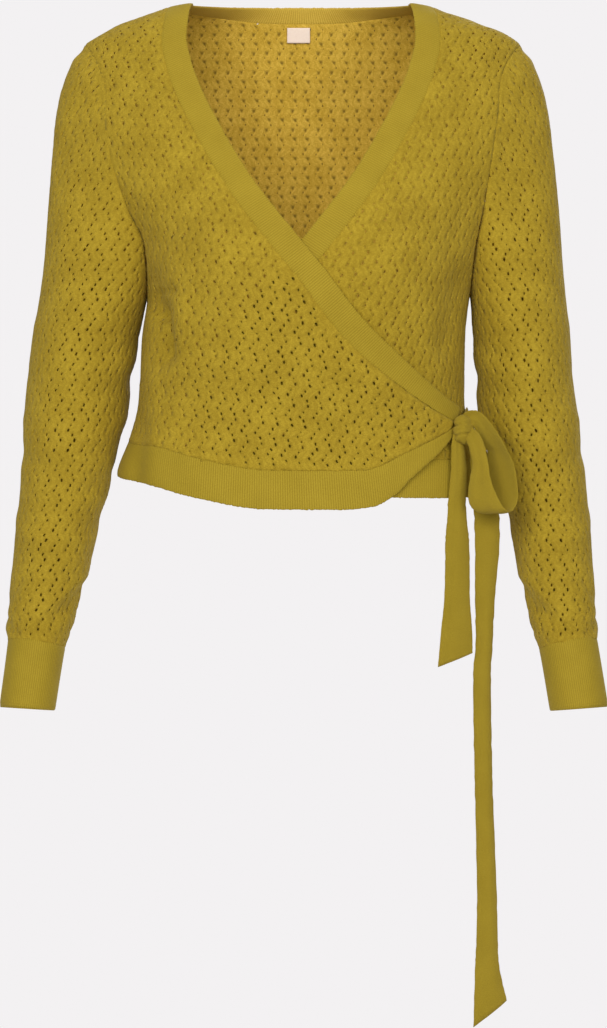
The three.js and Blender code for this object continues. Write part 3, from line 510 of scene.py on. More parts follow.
def shell(node, outer, inner, quads, flat, material):
    """One object in place of a CAD node: an outer and an inner layer, with rims along the open edges."""
    name = f"{node}_cloth"
    outer, inner, flat = outer.reshape(-1, 3), inner.reshape(-1, 3), flat.reshape(-1, 2)
    count = len(outer)
    a, b = open_edges(quads, count).T
    rims = np.stack([b, a, a + count, b + count], -1)
    faces = np.concatenate([quads, quads[:, ::-1] + count, rims]).astype(np.int32)
    verts = np.concatenate([outer, inner]) * MM
    mesh = bpy.data.meshes.new(name)
    mesh.vertices.add(len(verts))
    mesh.vertices.foreach_set("co", verts.astype(np.float32).ravel())
    mesh.loops.add(faces.size)
    mesh.loops.foreach_set("vertex_index", faces.ravel())
    mesh.polygons.add(len(faces))
    mesh.polygons.foreach_set("loop_start", np.arange(0, faces.size, 4, dtype=np.int32))
    mesh.polygons.foreach_set("use_smooth", np.ones(len(faces), bool))
    mesh.update(calc_edges=True)
    uv = mesh.uv_layers.new(name="cloth_mm")
    places = np.concatenate([flat, flat])[faces.ravel()]
    uv.data.foreach_set("uv", places.astype(np.float32).ravel())
    mesh.validate()
    # marks the inner face, which the yarn material paints lighter: partly purl tone, partly painted light
    side = mesh.attributes.new("reverse", "FLOAT", "POINT")
    side.data.foreach_set("value", np.repeat([0.0, 1.0], count).astype(np.float32))
    mesh.materials.append(material)
    piece = bpy.data.objects.new(name, mesh)
    bpy.context.scene.collection.objects.link(piece)
    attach(piece, "root")
    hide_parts(node)
    print(name, "triangles", 2 * len(faces))
    return piece


def grid_quads(rows, columns, closed=False):
    i = np.arange(columns if closed else columns - 1)
    j = np.arange(rows - 1)
    j, i = np.meshgrid(j, i, indexing="ij")
    ahead = (i + 1) % columns
    this, above = j * columns, (j + 1) * columns
    return np.stack([this + i, this + ahead, above + ahead, above + i], -1).reshape(-1, 4)


def grid_shell(node, outer, inner, flat, material, closed=False):
    """A shell whose vertices lie in rows; a closed one joins the end of each row to its start."""
    return shell(node, outer, inner, grid_quads(*outer.shape[:2], closed), flat, material)


def crowded(count):
    """Places from 0 to 1 across a strip, closer together near its two edges."""
    return (1 - np.cos(np.linspace(0, math.pi, count))) / 2


def ruled(a, b, k):
    """Rows of points that run from line a to line b, at the places k between them."""
    return a[:, None] * (1 - k[None, :, None]) + b[:, None] * k[None, :, None]


def rounded_profile(k, thick, edge=0.18):
    """How far a strip's face sinks near its two edges."""
    rise = np.clip(np.minimum(k, 1 - k) / edge, 0, 1)
    return thick * 0.42 * (1 - np.sqrt(1 - (1 - rise) ** 2))


def ragged(random, by, count, k):
    """Small uneven shifts of a strip's two edges, with none in its middle."""
    return random.normal(0, by, (count, 1)) * (np.abs(k - 0.5) * 2) ** 6


def both_faces(point, normal, sunk, thick):
    return point - normal * sunk, point - normal * (thick - sunk)


# %% [markdown]
# ## Shader groups for the yarn
# Net, rib and ribbon are the same yarn, so what they share is built once: small V-shaped stitches,
# ribs, the slanted strands between the net's holes, and the uneven tone of dyed yarn, with painted light
# and shade mixed into that tone. Each is a node group with named inputs, and each material sets its own
# values on it.

# %% Node helpers
PLACE = ("Place", "NodeSocketVector", (0, 0, 0))


def new_group(name, inputs, outputs):
    tree = bpy.data.node_groups.new(name, "ShaderNodeTree")
    for label, kind, value in inputs:
        socket = tree.interface.new_socket(label, in_out="INPUT", socket_type=kind)
        socket.default_value = value
    for label, kind in outputs:
        tree.interface.new_socket(label, in_out="OUTPUT", socket_type=kind)
    return tree, tree.nodes.new("NodeGroupInput").outputs, tree.nodes.new("NodeGroupOutput").inputs


def put(tree, socket, value):
    if isinstance(value, bpy.types.NodeSocket):
        tree.links.new(value, socket)
    else:
        socket.default_value = value


def calc(tree, operation, *values):
    node = tree.nodes.new("ShaderNodeMath")
    node.operation = operation
    for socket, value in zip(node.inputs, values):
        put(tree, socket, value)
    return node.outputs[0]


def blend_colours(tree, share, first, second):
    node = tree.nodes.new("ShaderNodeMix")
    node.data_type = "RGBA"
    put(tree, node.inputs[0], share)
    put(tree, node.inputs[6], first)
    put(tree, node.inputs[7], second)
    return node.outputs[2]


def noise(tree, vector, scale, detail=2.0):
    node = tree.nodes.new("ShaderNodeTexNoise")
    put(tree, node.inputs["Vector"], vector)
    put(tree, node.inputs["Scale"], scale)
    node.inputs["Detail"].default_value = detail
    return node.outputs["Fac"]


def clamped(tree, value):
    return calc(tree, "MINIMUM", calc(tree, "MAXIMUM", value, 0.0), 1.0)


def bumped(tree, height, strength, distance):
    node = tree.nodes.new("ShaderNodeBump")
    node.inputs["Strength"].default_value = strength
    node.inputs["Distance"].default_value = distance
    put(tree, node.inputs["Height"], height)
    return node.outputs[0]


def split(tree, vector):
    node = tree.nodes.new("ShaderNodeSeparateXYZ")
    put(tree, node.inputs[0], vector)
    return node.outputs


print("node helpers ready")

# %% Group: V-shaped stitches
stitches, given, give = new_group(
    "knit stitches",
    [PLACE, ("Wale", "NodeSocketFloat", 1.55), ("Course", "NodeSocketFloat", 1.15)],
    [("Height", "NodeSocketFloat")],
)
across, up, _ = split(stitches, given["Place"])
in_wale = calc(stitches, "FRACT", calc(stitches, "DIVIDE", across, given["Wale"]))
from_middle = calc(stitches, "ABSOLUTE", calc(stitches, "MULTIPLY_ADD", in_wale, 2.0, -1.0))
leg = calc(stitches, "SINE", calc(stitches, "MULTIPLY", from_middle, math.pi))
course = calc(stitches, "DIVIDE", up, given["Course"])
slanted = calc(stitches, "MULTIPLY_ADD", from_middle, -0.6, course)
loops = calc(stitches, "SINE", calc(stitches, "MULTIPLY", slanted, 2 * math.pi))
raised = calc(stitches, "MULTIPLY_ADD", loops, 0.35, 0.65)
put(stitches, give["Height"], calc(stitches, "MULTIPLY", leg, raised))
print("group:", stitches.name)

# %% Group: ribs
ribs, given, give = new_group(
    "rib",
    [PLACE, ("Rib", "NodeSocketFloat", 2.1), ("Course", "NodeSocketFloat", 1.3)],
    [("Height", "NodeSocketFloat")],
)
across, up, _ = split(ribs, given["Place"])
in_rib = calc(ribs, "DIVIDE", across, given["Rib"])
wave = calc(ribs, "COSINE", calc(ribs, "MULTIPLY", in_rib, 2 * math.pi))
rounded = calc(ribs, "SQRT", calc(ribs, "MULTIPLY_ADD", wave, 0.5, 0.5))
in_course = calc(ribs, "DIVIDE", up, given["Course"])
notch = calc(ribs, "SINE", calc(ribs, "MULTIPLY", in_course, 2 * math.pi))
raised = calc(ribs, "MULTIPLY_ADD", notch, 0.15, 0.85)
put(ribs, give["Height"], calc(ribs, "MULTIPLY", rounded, raised))
print("group:", ribs.name)

# %% Group: slanted strands of the net
CELL_WIDE, CELL_TALL = 12.4, 9.2
strands, given, give = new_group(
    "slanted strands",
    [PLACE, ("Width", "NodeSocketFloat", 0.13)],
    [("Height", "NodeSocketFloat")],
)
across, up, _ = split(strands, given["Place"])
level = calc(strands, "DIVIDE", up, CELL_TALL)
row = calc(strands, "FLOOR", level)
odd = calc(strands, "MODULO", calc(strands, "ADD", row, 1000.0), 2.0)
in_row = calc(strands, "FRACT", level)
stagger = calc(strands, "MULTIPLY", odd, 0.5)
column = calc(strands, "SUBTRACT", calc(strands, "DIVIDE", across, CELL_WIDE), stagger)
lean = calc(strands, "MULTIPLY_ADD", odd, -0.9, 0.45)
leaning = calc(strands, "MULTIPLY", calc(strands, "SUBTRACT", in_row, 0.5), lean)
wander = calc(strands, "MULTIPLY_ADD", noise(strands, given["Place"], 0.16, 1.0), 0.8, -0.4)
shifted = calc(strands, "ADD", calc(strands, "SUBTRACT", column, leaning), wander)
heights = []
for middle in (0.42, 0.9):
    in_column = calc(strands, "FRACT", calc(strands, "SUBTRACT", shifted, middle - 0.5))
    ratio = calc(strands, "DIVIDE", calc(strands, "SUBTRACT", in_column, 0.5), given["Width"])
    square = calc(strands, "MULTIPLY", ratio, ratio)
    heights.append(calc(strands, "EXPONENT", calc(strands, "MULTIPLY", square, -1.0)))
both = calc(strands, "MAXIMUM", *heights)
fade = calc(strands, "SINE", calc(strands, "MULTIPLY", in_row, math.pi))
raised = calc(strands, "MULTIPLY_ADD", fade, 0.7, 0.3)
put(strands, give["Height"], calc(strands, "MULTIPLY", both, raised))
print("group:", strands.name)

# %% Group: uneven tone of dyed yarn, with painted highlight and painted shade
tone_and_painted_light, given, give = new_group(
    "yarn tone",
    [
        PLACE,
        ("Relief", "NodeSocketFloat", 0.5),
        ("Dark", "NodeSocketColor", (0.2, 0.15, 0.01, 1)),
        ("Middle", "NodeSocketColor", (0.4, 0.3, 0.03, 1)),
        ("Light", "NodeSocketColor", (0.5, 0.38, 0.05, 1)),
        ("Eyelet", "NodeSocketFloat", 0.0),
        # the painted shade colour of blind eyelets
        ("Hole Shade", "NodeSocketColor", (0.15, 0.09, 0.008, 1)),
        ("Reverse", "NodeSocketFloat", 0.0),
        # the inner face's tint: partly the purl side's own lighter tone, partly painted light for the shade
        # inside the garment
        ("Reverse Tint And Painted Light", "NodeSocketColor", (1.7, 1.62, 3.9, 1)),
    ],
    [("Color", "NodeSocketColor")],
)
patches = noise(tone_and_painted_light, given["Place"], 0.035, 3.0)
specks = noise(tone_and_painted_light, given["Place"], 0.9, 2.0)
patches, specks = calc(tone_and_painted_light, "MULTIPLY", patches, 0.35), calc(tone_and_painted_light, "MULTIPLY", specks, 0.65)
mixed = calc(tone_and_painted_light, "ADD", patches, specks)
spread_out = calc(tone_and_painted_light, "MULTIPLY_ADD", mixed, 2.2, -0.6)
uneven = calc(tone_and_painted_light, "MULTIPLY_ADD", spread_out, 0.6, -0.3)
# painted highlight and shade: the yarn is painted lighter where its stitches and strands stand high and
# darker where they sink; the noise above is the yarn's own uneven tone
lit = calc(tone_and_painted_light, "MULTIPLY_ADD", given["Relief"], 0.8, uneven)
low_tone = clamped(tone_and_painted_light, calc(tone_and_painted_light, "MULTIPLY", lit, 2.0))
high_tone = clamped(tone_and_painted_light, calc(tone_and_painted_light, "MULTIPLY_ADD", lit, 2.0, -1.0))
darker = blend_colours(tone_and_painted_light, low_tone, given["Dark"], given["Middle"])
toned_and_lit = blend_colours(tone_and_painted_light, high_tone, darker, given["Light"])
# painted shade: blind eyelets are painted dark, for the shadow seen through an open eyelet
hole_shade = clamped(tone_and_painted_light, calc(tone_and_painted_light, "MULTIPLY_ADD", given["Eyelet"], 2.9, -0.43))
# the inner face is painted lighter: partly the purl side's own tone, partly painted light that makes up for
# the shade inside
turned = blend_colours(tone_and_painted_light, given["Reverse"], toned_and_lit, given["Reverse Tint And Painted Light"])
turned.node.blend_type = "MULTIPLY"
put(tone_and_painted_light, give["Color"], blend_colours(tone_and_painted_light, hole_shade, turned, given["Hole Shade"]))
print("group:", tone_and_painted_light.name)

# %% [markdown]
# ## Materials
# Knitwear is matt with a faint bloom of loose fibres, which the Principled shader's sheen gives. Each
# material joins its own groups: net has stitches and slanted strands, bands have ribs, the ribbon has
# finer stitches lengthwise.

# %% Yarn materials


def group_node(tree, group, **values):
    node = tree.nodes.new("ShaderNodeGroup")
    node.node_tree = group
    for label, value in values.items():
        put(tree, node.inputs[label], value)
    return node.outputs


def cloth_material(name):
    """A new material with its node tree, its Principled shader and the flat place of what it shades."""
    material = bpy.data.materials.new(name)
    material.use_nodes = True
    tree = material.node_tree
    place = tree.nodes.new("ShaderNodeUVMap")
    place.uv_map = "cloth_mm"
    return material, tree, tree.nodes["Principled BSDF"], place.outputs[0]


def set_inputs(shader, **values):
    for label, value in values.items():
        shader.inputs[label.replace("_", " ")].default_value = value


def yarn(slot, reliefs, colours, bump):
    """reliefs: (group, values, share) for each relief that the cloth has."""
    material, tree, shader, place = cloth_material(f"{slot}_yarn")
    total = None
    for group, values, share in reliefs:
        height = group_node(tree, group, Place=place, **values)["Height"]
        height = calc(tree, "MULTIPLY", height, share)
        total = height if total is None else calc(tree, "ADD", total, height)
    dark, middle, light = colours
    look = group_node(tree, tone_and_painted_light, Place=place, Relief=total, Dark=dark, Middle=middle, Light=light)
    # the eyelet mark paints shade into blind pits; the reverse mark paints the inner face lighter, partly
    # its own purl tone and partly painted light
    for mark in ("Eyelet", "Reverse"):
        found = tree.nodes.new("ShaderNodeAttribute")
        found.attribute_name = mark.lower()
        tree.links.new(found.outputs["Fac"], look["Color"].node.inputs[mark])
    tree.links.new(look["Color"], shader.inputs["Base Color"])
    fuzz = calc(tree, "MULTIPLY_ADD", noise(tree, place, 2.2, 3.0), 0.35, total)
    tree.links.new(bumped(tree, fuzz, bump, 0.0006), shader.inputs["Normal"])
    set_inputs(shader, Roughness=0.82, Specular_IOR_Level=0.25)
    set_inputs(shader, Sheen_Weight=0.15, Sheen_Roughness=0.45, Sheen_Tint=(0.9, 0.75, 0.25, 1))
    return material


# dark, middle and light yarn colours: the yarn's own uneven tone, and painted highlight and shade that
# follow the stitches' relief
NET_COLOURS = ((0.255, 0.164, 0.004, 1), (0.428, 0.297, 0.018, 1), (0.58, 0.426, 0.044, 1))
BAND_COLOURS = ((0.24, 0.163, 0.006, 1), (0.322, 0.226, 0.012, 1), (0.39, 0.284, 0.022, 1))
net_knit = yarn("net_knit", [(stitches, {}, 0.4), (strands, {}, 0.2)], NET_COLOURS, 0.7)
rib_knit = yarn("rib_knit", [(ribs, {}, 0.8)], BAND_COLOURS, 0.45)
ribbon_knit = yarn("ribbon_knit", [(stitches, {"Wale": 1.3, "Course": 1.0}, 1.0)], BAND_COLOURS, 0.6)
# the ribbon's inner face gets neither the purl tint nor the painted light
for node in ribbon_knit.node_tree.nodes:
    if node.type == "GROUP" and node.node_tree == tone_and_painted_light:
        node.inputs["Reverse Tint And Painted Light"].default_value = (1, 1, 1, 1)
print("materials:", [m.name for m in bpy.data.materials])

# %% [markdown]
# ## The net
# In the real cloth each cell has a round eyelet and, above it, a smaller one that leans right in one
# row and left in the next; rows are staggered. An image could only paint the holes. Here the flat cloth
# is a fine grid of quads and the vertices round each eyelet are moved onto a small ring. On the fronts
# and the front half of the sleeves the quads inside the ring are left out, so the hole is real. On the
# back and the rear half of the sleeves they stay and sink into a blind pit, so that the pale room
# doesn't shine through two layers of cloth; the real ones are open. These pits are painted dark, as
# painted shade that stands for the shadow seen through an open eyelet.

# %% Net: its measures, and two helpers for outlines
# a cell in quads, the eyelets' sizes, and how the ring round one is stretched, in millimetres
CELL_COLUMNS, CELL_ROWS = 6, 4
EYELET, SMALL_EYELET = 1.2, 0.9
SLIT = np.array([0.72, 1.3])
# how much they differ: in place, in size and in turn; and from a large one to the small one above it
SHIFT, SMALL_SHIFT = 0.28, 0.22
SIZES, SMALL_SIZES = (0.62, 1.22), (0.6, 1.25)
TURN = 18
LEANS = ((2.4, 4.4), (-1.8, 4.9))
# blind eyelets: depth of a large one, a small one's share of it and of the painted shade, and the small
# one's share in size
PIT_DEPTH, SMALL_PIT, SMALL_BLIND = 0.55, 0.45, 0.5
# the plain border, how far into it large and small eyelets reach, and which vertices move onto the outline
PLAIN_BORDER, LARGE_INTO, SMALL_INTO, SNAP = 4.6, 1.5, 2.2, 2.4
NET_THICK, NET_SINK, STRAND_HIGH = 1.3, 0.3, 0.07
# the seam's welt: height, place, width, and the width of the step at the edge; the net starts beyond it
WELT, WELT_AT, WELT_WIDE, STEP_WIDE, WELT_END = 0.35, 2.2, 1.3, 0.9, 3.8
SMOOTHINGS = 3
AROUND = [(di, dj) for dj in (-1, 0, 1) for di in (-1, 0, 1) if di or dj]
CORNERS = [(di, dj) for dj in (0, 1) for di in (0, 1)]


def inside_of(polygon, p):
    inside = np.zeros(len(p), bool)
    a, b = polygon, np.roll(polygon, -1, axis=0)
    for (x0, y0), (x1, y1) in zip(a, b):
        crosses = (y0 > p[:, 1]) != (y1 > p[:, 1])
        if y1 != y0:
            inside ^= crosses & (p[:, 0] < (x1 - x0) * (p[:, 1] - y0) / (y1 - y0) + x0)
    return inside


def nearest_on(polygon, p):
    best = np.full(len(p), 1e9)
    place = np.zeros_like(p)
    a, b = polygon, np.roll(polygon, -1, axis=0)
    for start, end in zip(a, b):
        run = end - start
        t = np.clip(((p - start) @ run) / max(run @ run, 1e-9), 0, 1)[:, None]
        q = start + t * run
        away = np.linalg.norm(p - q, axis=1)
        closer = away < best
        best[closer] = away[closer]
        place[closer] = q[closer]
    return best, place


def rotate(p, degrees):
    c, s = math.cos(math.radians(degrees)), math.sin(math.radians(degrees))
    return np.stack([p[..., 0] * c - p[..., 1] * s, p[..., 0] * s + p[..., 1] * c], -1)


print("quads in a cell:", CELL_COLUMNS * CELL_ROWS)

# %% Net: the flat grid and its cut


def lattice(border, tilt, lean_turn, seed, blind):
    """The grid's vertices, which of its quads are eyelets, and how deep each vertex lies in a pit."""
    random = np.random.default_rng(seed)
    block = np.array([CELL_WIDE, 2 * CELL_TALL])
    low_cell = np.floor(border.min(0) / block).astype(int) - 1
    high_cell = np.ceil(border.max(0) / block).astype(int) + 1
    wide = (high_cell[0] - low_cell[0]) * CELL_COLUMNS
    tall = (high_cell[1] - low_cell[1]) * 2 * CELL_ROWS
    start = low_cell * block
    jj, ii = np.meshgrid(np.arange(tall + 1), np.arange(wide + 1), indexing="ij")
    p = np.stack([start[0] + ii * (CELL_WIDE / CELL_COLUMNS), start[1] + jj * (CELL_TALL / CELL_ROWS)], -1)
    hole = np.zeros((tall, wide), bool)
    fixed = np.zeros((tall + 1, wide + 1), bool)
    pit = np.zeros(fixed.shape)
    for k in range(tall // CELL_ROWS):
        odd = k % 2
        j0 = k * CELL_ROWS
        for m in range(wide // CELL_COLUMNS - 1):
            i0 = m * CELL_COLUMNS + 3 * odd
            middle = p[j0 + 1, i0 + 1] + random.normal(0, SHIFT, 2)
            size = EYELET * random.uniform(*SIZES)
            turn = lean_turn + random.uniform(-TURN, TURN)
            closed_here = blind is not None and bool(blind(rotate(middle, tilt)))
            for di, dj in AROUND:
                angle = math.atan2(dj, di)
                ring = np.array([math.cos(angle), math.sin(angle)]) * SLIT * size
                p[j0 + 1 + dj, i0 + 1 + di] = middle + rotate(ring, turn)
                fixed[j0 + 1 + dj, i0 + 1 + di] = True
            hole[j0 : j0 + 2, i0 : i0 + 2] = not closed_here
            pit[j0 + 1, i0 + 1] = closed_here
            fixed[j0 + 1, i0 + 1] = True
            p[j0 + 1, i0 + 1] = middle
            small = i0 + (0 if odd else 1)
            spot = middle + LEANS[odd] + random.normal(0, SMALL_SHIFT, 2)
            size = SMALL_EYELET * random.uniform(*SMALL_SIZES) * (SMALL_BLIND if closed_here else 1)
            for di, dj in CORNERS:
                j, i = j0 + 3 + dj, small + di
                if j <= tall:
                    corner = size * SLIT * (2 * di - 1, 2 * dj - 1)
                    p[j, i] = spot + rotate(corner, turn)
                    fixed[j, i] = True
                    pit[j, i] = SMALL_PIT * closed_here
            hole[j0 + 3, small] = not closed_here
    for _ in range(SMOOTHINGS):
        even = p.copy()
        even[1:-1, 1:-1] = (p[:-2, 1:-1] + p[2:, 1:-1] + p[1:-1, :-2] + p[1:-1, 2:]) / 4
        p = np.where(fixed[..., None], p, even)
    return p, hole, pit


def cut_out(border, p, hole):
    """The lattice cut to its border: flat vertices, how far each lies from the border, quads, and which
    of the lattice's vertices are used. Eyelets too near the border stay closed."""
    columns = p.shape[1]
    flat = p.reshape(-1, 2)
    quads = grid_quads(*p.shape[:2])
    inside = inside_of(border, flat[quads].mean(1))
    quads = quads[inside]
    open_quad = hole.reshape(-1)[inside]
    used = np.unique(quads)
    away = np.full(len(flat), 1e9)
    closest = flat.copy()
    away[used], closest[used] = nearest_on(border, flat[used])
    cell_away = away[quads].min(1)
    column, row = quads[:, 0] % columns, quads[:, 0] // columns
    cell_row = row // CELL_ROWS
    key = cell_row * 100000 + (column + CELL_COLUMNS - 3 * (cell_row % 2)) // CELL_COLUMNS
    main = open_quad & (row % CELL_ROWS < 2)
    near_edge = np.unique(key[main & (cell_away < PLAIN_BORDER - LARGE_INTO)])
    closed = main & np.isin(key, near_edge)
    closed |= open_quad & ~main & (cell_away < PLAIN_BORDER - SMALL_INTO)
    quads = quads[~open_quad | closed]
    rim = np.unique(open_edges(quads, len(flat)))
    snap = rim[away[rim] < SNAP]
    flat[snap] = closest[snap]
    used, quads = np.unique(quads, return_inverse=True)
    return flat[used], away[used], quads.reshape(-1, 4), used


def net(name, outline, place, tilt, lean_turn, seed, blind=None):
    """outline: closed line of flat places. place: flat places to (point, way out). tilt: of the rows, in
    degrees. lean_turn: of the eyelets, in degrees. blind: tells from a flat place whether its eyelets are
    pits, not cut."""
    border = rotate(outline, -tilt)
    p, hole, pit = lattice(border, tilt, lean_turn, seed, blind)
    flat, away, quads, used = cut_out(border, p, hole)
    pit = np.where(away > PLAIN_BORDER - LARGE_INTO, pit.reshape(-1)[used], 0)
    point, normal = place(rotate(flat, tilt))
    bead = np.exp(-(((away - WELT_AT) / WELT_WIDE) ** 2))
    welt = WELT * bead - WELT * np.exp(-((away / STEP_WIDE) ** 2))
    slanted = flat[:, 0] / CELL_WIDE + flat[:, 1] / CELL_TALL / 2
    relief = np.where(away < WELT_END, welt, STRAND_HIGH * np.sin(2 * math.pi * slanted)) - NET_SINK
    sunk = PIT_DEPTH * pit[:, None]
    outer = point + normal * (relief[:, None] - sunk)
    inner = point - normal * (NET_THICK + NET_SINK - sunk)
    piece = shell(name, outer, inner, quads, flat, net_knit)
    # the pits' depth share is also the mask of the painted shade that darkens blind eyelets
    holes = piece.data.attributes.new("eyelet", "FLOAT", "POINT")
    holes.data.foreach_set("value", np.concatenate([pit, pit]).astype(np.float32))


print("plain border", PLAIN_BORDER, "mm")

# %% [markdown]
# ## Bands and hems
# Plain rib is dense, so a band is a solid strip with rounded edges. Its outer face lies a little proud
# of the net, which reads as the seam between the two.

# %% Bands between two lines on the form
BAND_THICK, BAND_ACROSS, BAND_RAGGED = 2.0, 9, 0.2


def band(name, low, high, side, upper, count, seed):
    """low: the band's free edge. high: its edge at the seam."""
    random = np.random.default_rng(seed)
    low, high = resample(low, count), resample(high, count)
    k = crowded(BAND_ACROSS)
    point, normal = cloth(seat(ruled(low, high, k), side), side, upper)
    bump = ragged(random, BAND_RAGGED, count, k)
    slant = unit(high - low)[:, None] * bump[..., None]
    sunk = rounded_profile(k, BAND_THICK)[None, :, None]
    outer, inner = both_faces(point + slant, normal, sunk, BAND_THICK)
    widths = np.linalg.norm(high - low, axis=1)
    along = lengths((low + high) / 2)
    flat = np.stack([np.broadcast_to(along[:, None], bump.shape), k[None, :] * widths[:, None]], -1)
    piece = grid_shell(name, outer, inner, flat, rib_knit)


print("bands are", BAND_THICK, "mm thick")

# %% [markdown]
# ## The two fronts
# Each front is a net panel, a neck band along its edge and a hem band below it, which meet in a corner
# at the tie. The hem runs round the body by its turn from the middle of the front, because its height
# changes with that.

# %% Front pieces
# turn from the middle, height of the hem's lower edge, height of the band
HEM_UPPER = [
    (-90, -437, 35), (-52, -447.5, 35), (-35, -458, 35), (-10, -469.5, 35), (12, -470, 35),
    (22, -467.5, 34), (30.5, -455.5, 30), (36, -442, 24), (43, -429, 19), (50, -418, 16), (57, -406, 14),
]
HEM_UNDER = [
    (-41, -379, 12), (-38.5, -394, 13), (-34, -413, 17), (-28, -432, 22), (-22, -446, 28),
    (-14, -456, 33), (0, -458, 35), (50, -459, 35), (90, -456, 35),
]
HEM_BACK = [(-90, -437, 35), (-45, -446, 35), (0, -452, 35), (45, -456, 35), (90, -456, 35)]
# how far a band reaches over its panel, and a body panel over the armhole's seam
BAND_COVERS, ARM_COVERS = 0.9, 1.4
HEM_TALL = 35


def untangled(line, by=7):
    """The line with its tightest bends eased; its ends stay."""
    weight = np.hanning(2 * by + 3)[1:-1]
    start, end = 2 * line[:1] - line[by:0:-1], 2 * line[-1:] - line[-2 : -by - 2 : -1]
    padded = np.concatenate([start, line, end])
    return np.stack([np.convolve(padded[:, k], weight / weight.sum(), "valid") for k in range(3)], -1)


def hem_line(hem, turn, side):
    z = curve(hem, 1)(turn)
    half = section(turn, z, side)[0]
    return form_at(half * np.sin(np.radians(turn)), z, side)


def front(name, hand, upper, edge_end, hem, hem_end, corner, tilt, lean_turn, seed):
    t = np.linspace(0, 1, 240)
    z = edge_end * t**1.6
    edge = form_at(hand * edge_at(z), z, FRONT)
    long = lengths(edge)[-1]
    width = BAND_END_WIDE + (BAND_WIDE - BAND_END_WIDE) * ease((1 - t) * long / BAND_TAPER)
    inwards = -hand
    meeting = form_at(*corner, FRONT)

    def seam_of(extra):
        line = beside(edge, FRONT, width + extra, inwards)
        x = hand * (NECK_HALF + BAND_WIDE + extra)
        line[0] = (x, 0, float(shoulder_height(x)))
        return line

    corner_seam = meeting + (edge[-1] - meeting) * SEAM / BAND_END_WIDE
    neck_seam = end_at(seam_of(BAND_COVERS), corner_seam)
    band(f"neck_band_{name}", edge, neck_seam, FRONT, upper, count=260, seed=seed)
    turn = np.linspace(hand * 90, hem_end, 240)
    low = hem_line(hem, turn, FRONT)
    tall = curve(hem, 2)(turn)

    def hem_top(extra):
        line = untangled(beside(low, FRONT, tall + extra, -inwards))
        z = low[0, 2] + tall[0] + extra
        line[0] = (hand * float(section(hand, z, FRONT)[0]), 0, z)
        return line

    corner_seam = meeting + (low[-1] - meeting) * SEAM / BAND_END_WIDE
    hem_seam = end_at(hem_top(BAND_COVERS), corner_seam)
    band(f"hem_band_{name}_front", low, hem_seam, FRONT, upper, count=300, seed=seed + 1)
    arm = armhole_point(np.linspace(0, math.pi, 90), hand, FRONT, ARM_COVERS * upper)
    panel_low = end_at(hem_top(0), meeting)
    outline = np.concatenate(
        [
            resample(panel_low, 140),
            resample(end_at(seam_of(0), meeting), 160)[::-1][1:],
            shoulder_line(hand, NECK_HALF + BAND_WIDE)[::-1][1:],
            arm[1:],
            side_line(hand, panel_low[0, 2])[::-1][1:-1],
        ]
    )

    def place(flat):
        return cloth(look_up(charts[FRONT], flat[:, 0], flat[:, 1]), FRONT, upper)

    net(f"{name}_front", flatten(charts[FRONT], outline), place, tilt, lean_turn, seed)


front(
    "right", hand=-1, upper=True, edge_end=-377, hem=HEM_UPPER, hem_end=57, corner=(136, -392),
    tilt=-6, lean_turn=24, seed=11,
)
front(
    "left", hand=1, upper=False, edge_end=-354, hem=HEM_UNDER, hem_end=-41, corner=(-101, -367),
    tilt=6, lean_turn=-24, seed=23,
)

# %% [markdown]
# ## The back
# The back is one wide net panel that goes over the shoulders to a shallow neck, with a hem band all
# along its foot.

# %% Back pieces


def back():
    turn = np.linspace(-math.pi / 2, math.pi / 2, 200)
    z = NECK_RISE * np.cos(turn)
    neck = form_at(section(turn, z, BACK)[0] * np.sin(turn), z, BACK)
    width = BAND_WIDE + (NECK_BACK_WIDE - BAND_WIDE) * np.cos(turn)

    def neck_seam(extra):
        line = beside(neck, BACK, width + extra, -1)
        x = np.array([-1, 1]) * (NECK_HALF + BAND_WIDE + extra)
        line[[0, -1]] = np.stack([x, 0 * x, shoulder_height(x)], -1)
        return line

    band("neck_band_back", neck, neck_seam(BAND_COVERS), BACK, False, count=180, seed=31)
    low = hem_line(HEM_BACK, np.linspace(-90, 90, 240), BACK)

    def hem_top(extra):
        line = beside(low, BACK, np.full(len(low), HEM_TALL + extra), 1)
        for i, hand in ((0, -1), (-1, 1)):
            z = low[i, 2] + HEM_TALL + extra
            line[i] = (hand * float(section(hand, z, BACK)[0]), 0, z)
        return line

    band("hem_band_back", low, hem_top(BAND_COVERS), BACK, False, count=300, seed=32)
    panel_low = hem_top(0)
    turn = np.linspace(0, math.pi, 90)
    arm = {hand: armhole_point(turn, hand, BACK, ARM_COVERS) for hand in (-1, 1)}
    reach = NECK_HALF + BAND_WIDE
    outline = np.concatenate(
        [
            resample(panel_low, 160),
            side_line(1, panel_low[-1, 2])[1:],
            arm[1][::-1][1:],
            shoulder_line(1, reach)[1:],
            resample(neck_seam(0), 120)[::-1][1:-1],
            shoulder_line(-1, reach)[::-1],
            arm[-1][1:],
            side_line(-1, panel_low[0, 2])[::-1][1:-1],
        ]
    )

    def place(flat):
        return cloth(look_up(charts[BACK], flat[:, 0], flat[:, 1]), BACK)

    outline = flatten(charts[BACK], outline)
    net("back", outline, place, tilt=0, lean_turn=-14, seed=37, blind=lambda flat: True)


back()

# %% [markdown]
# ## Sleeves
# A sleeve is a tube that starts at the armhole. Lines run down it from every part of the armhole, first
# along a gentle curve for the cap, then along the arm. Its chart is read off level by level: how far
# round from the outer line, and how far down it. The seam runs along the inner line, towards the body.

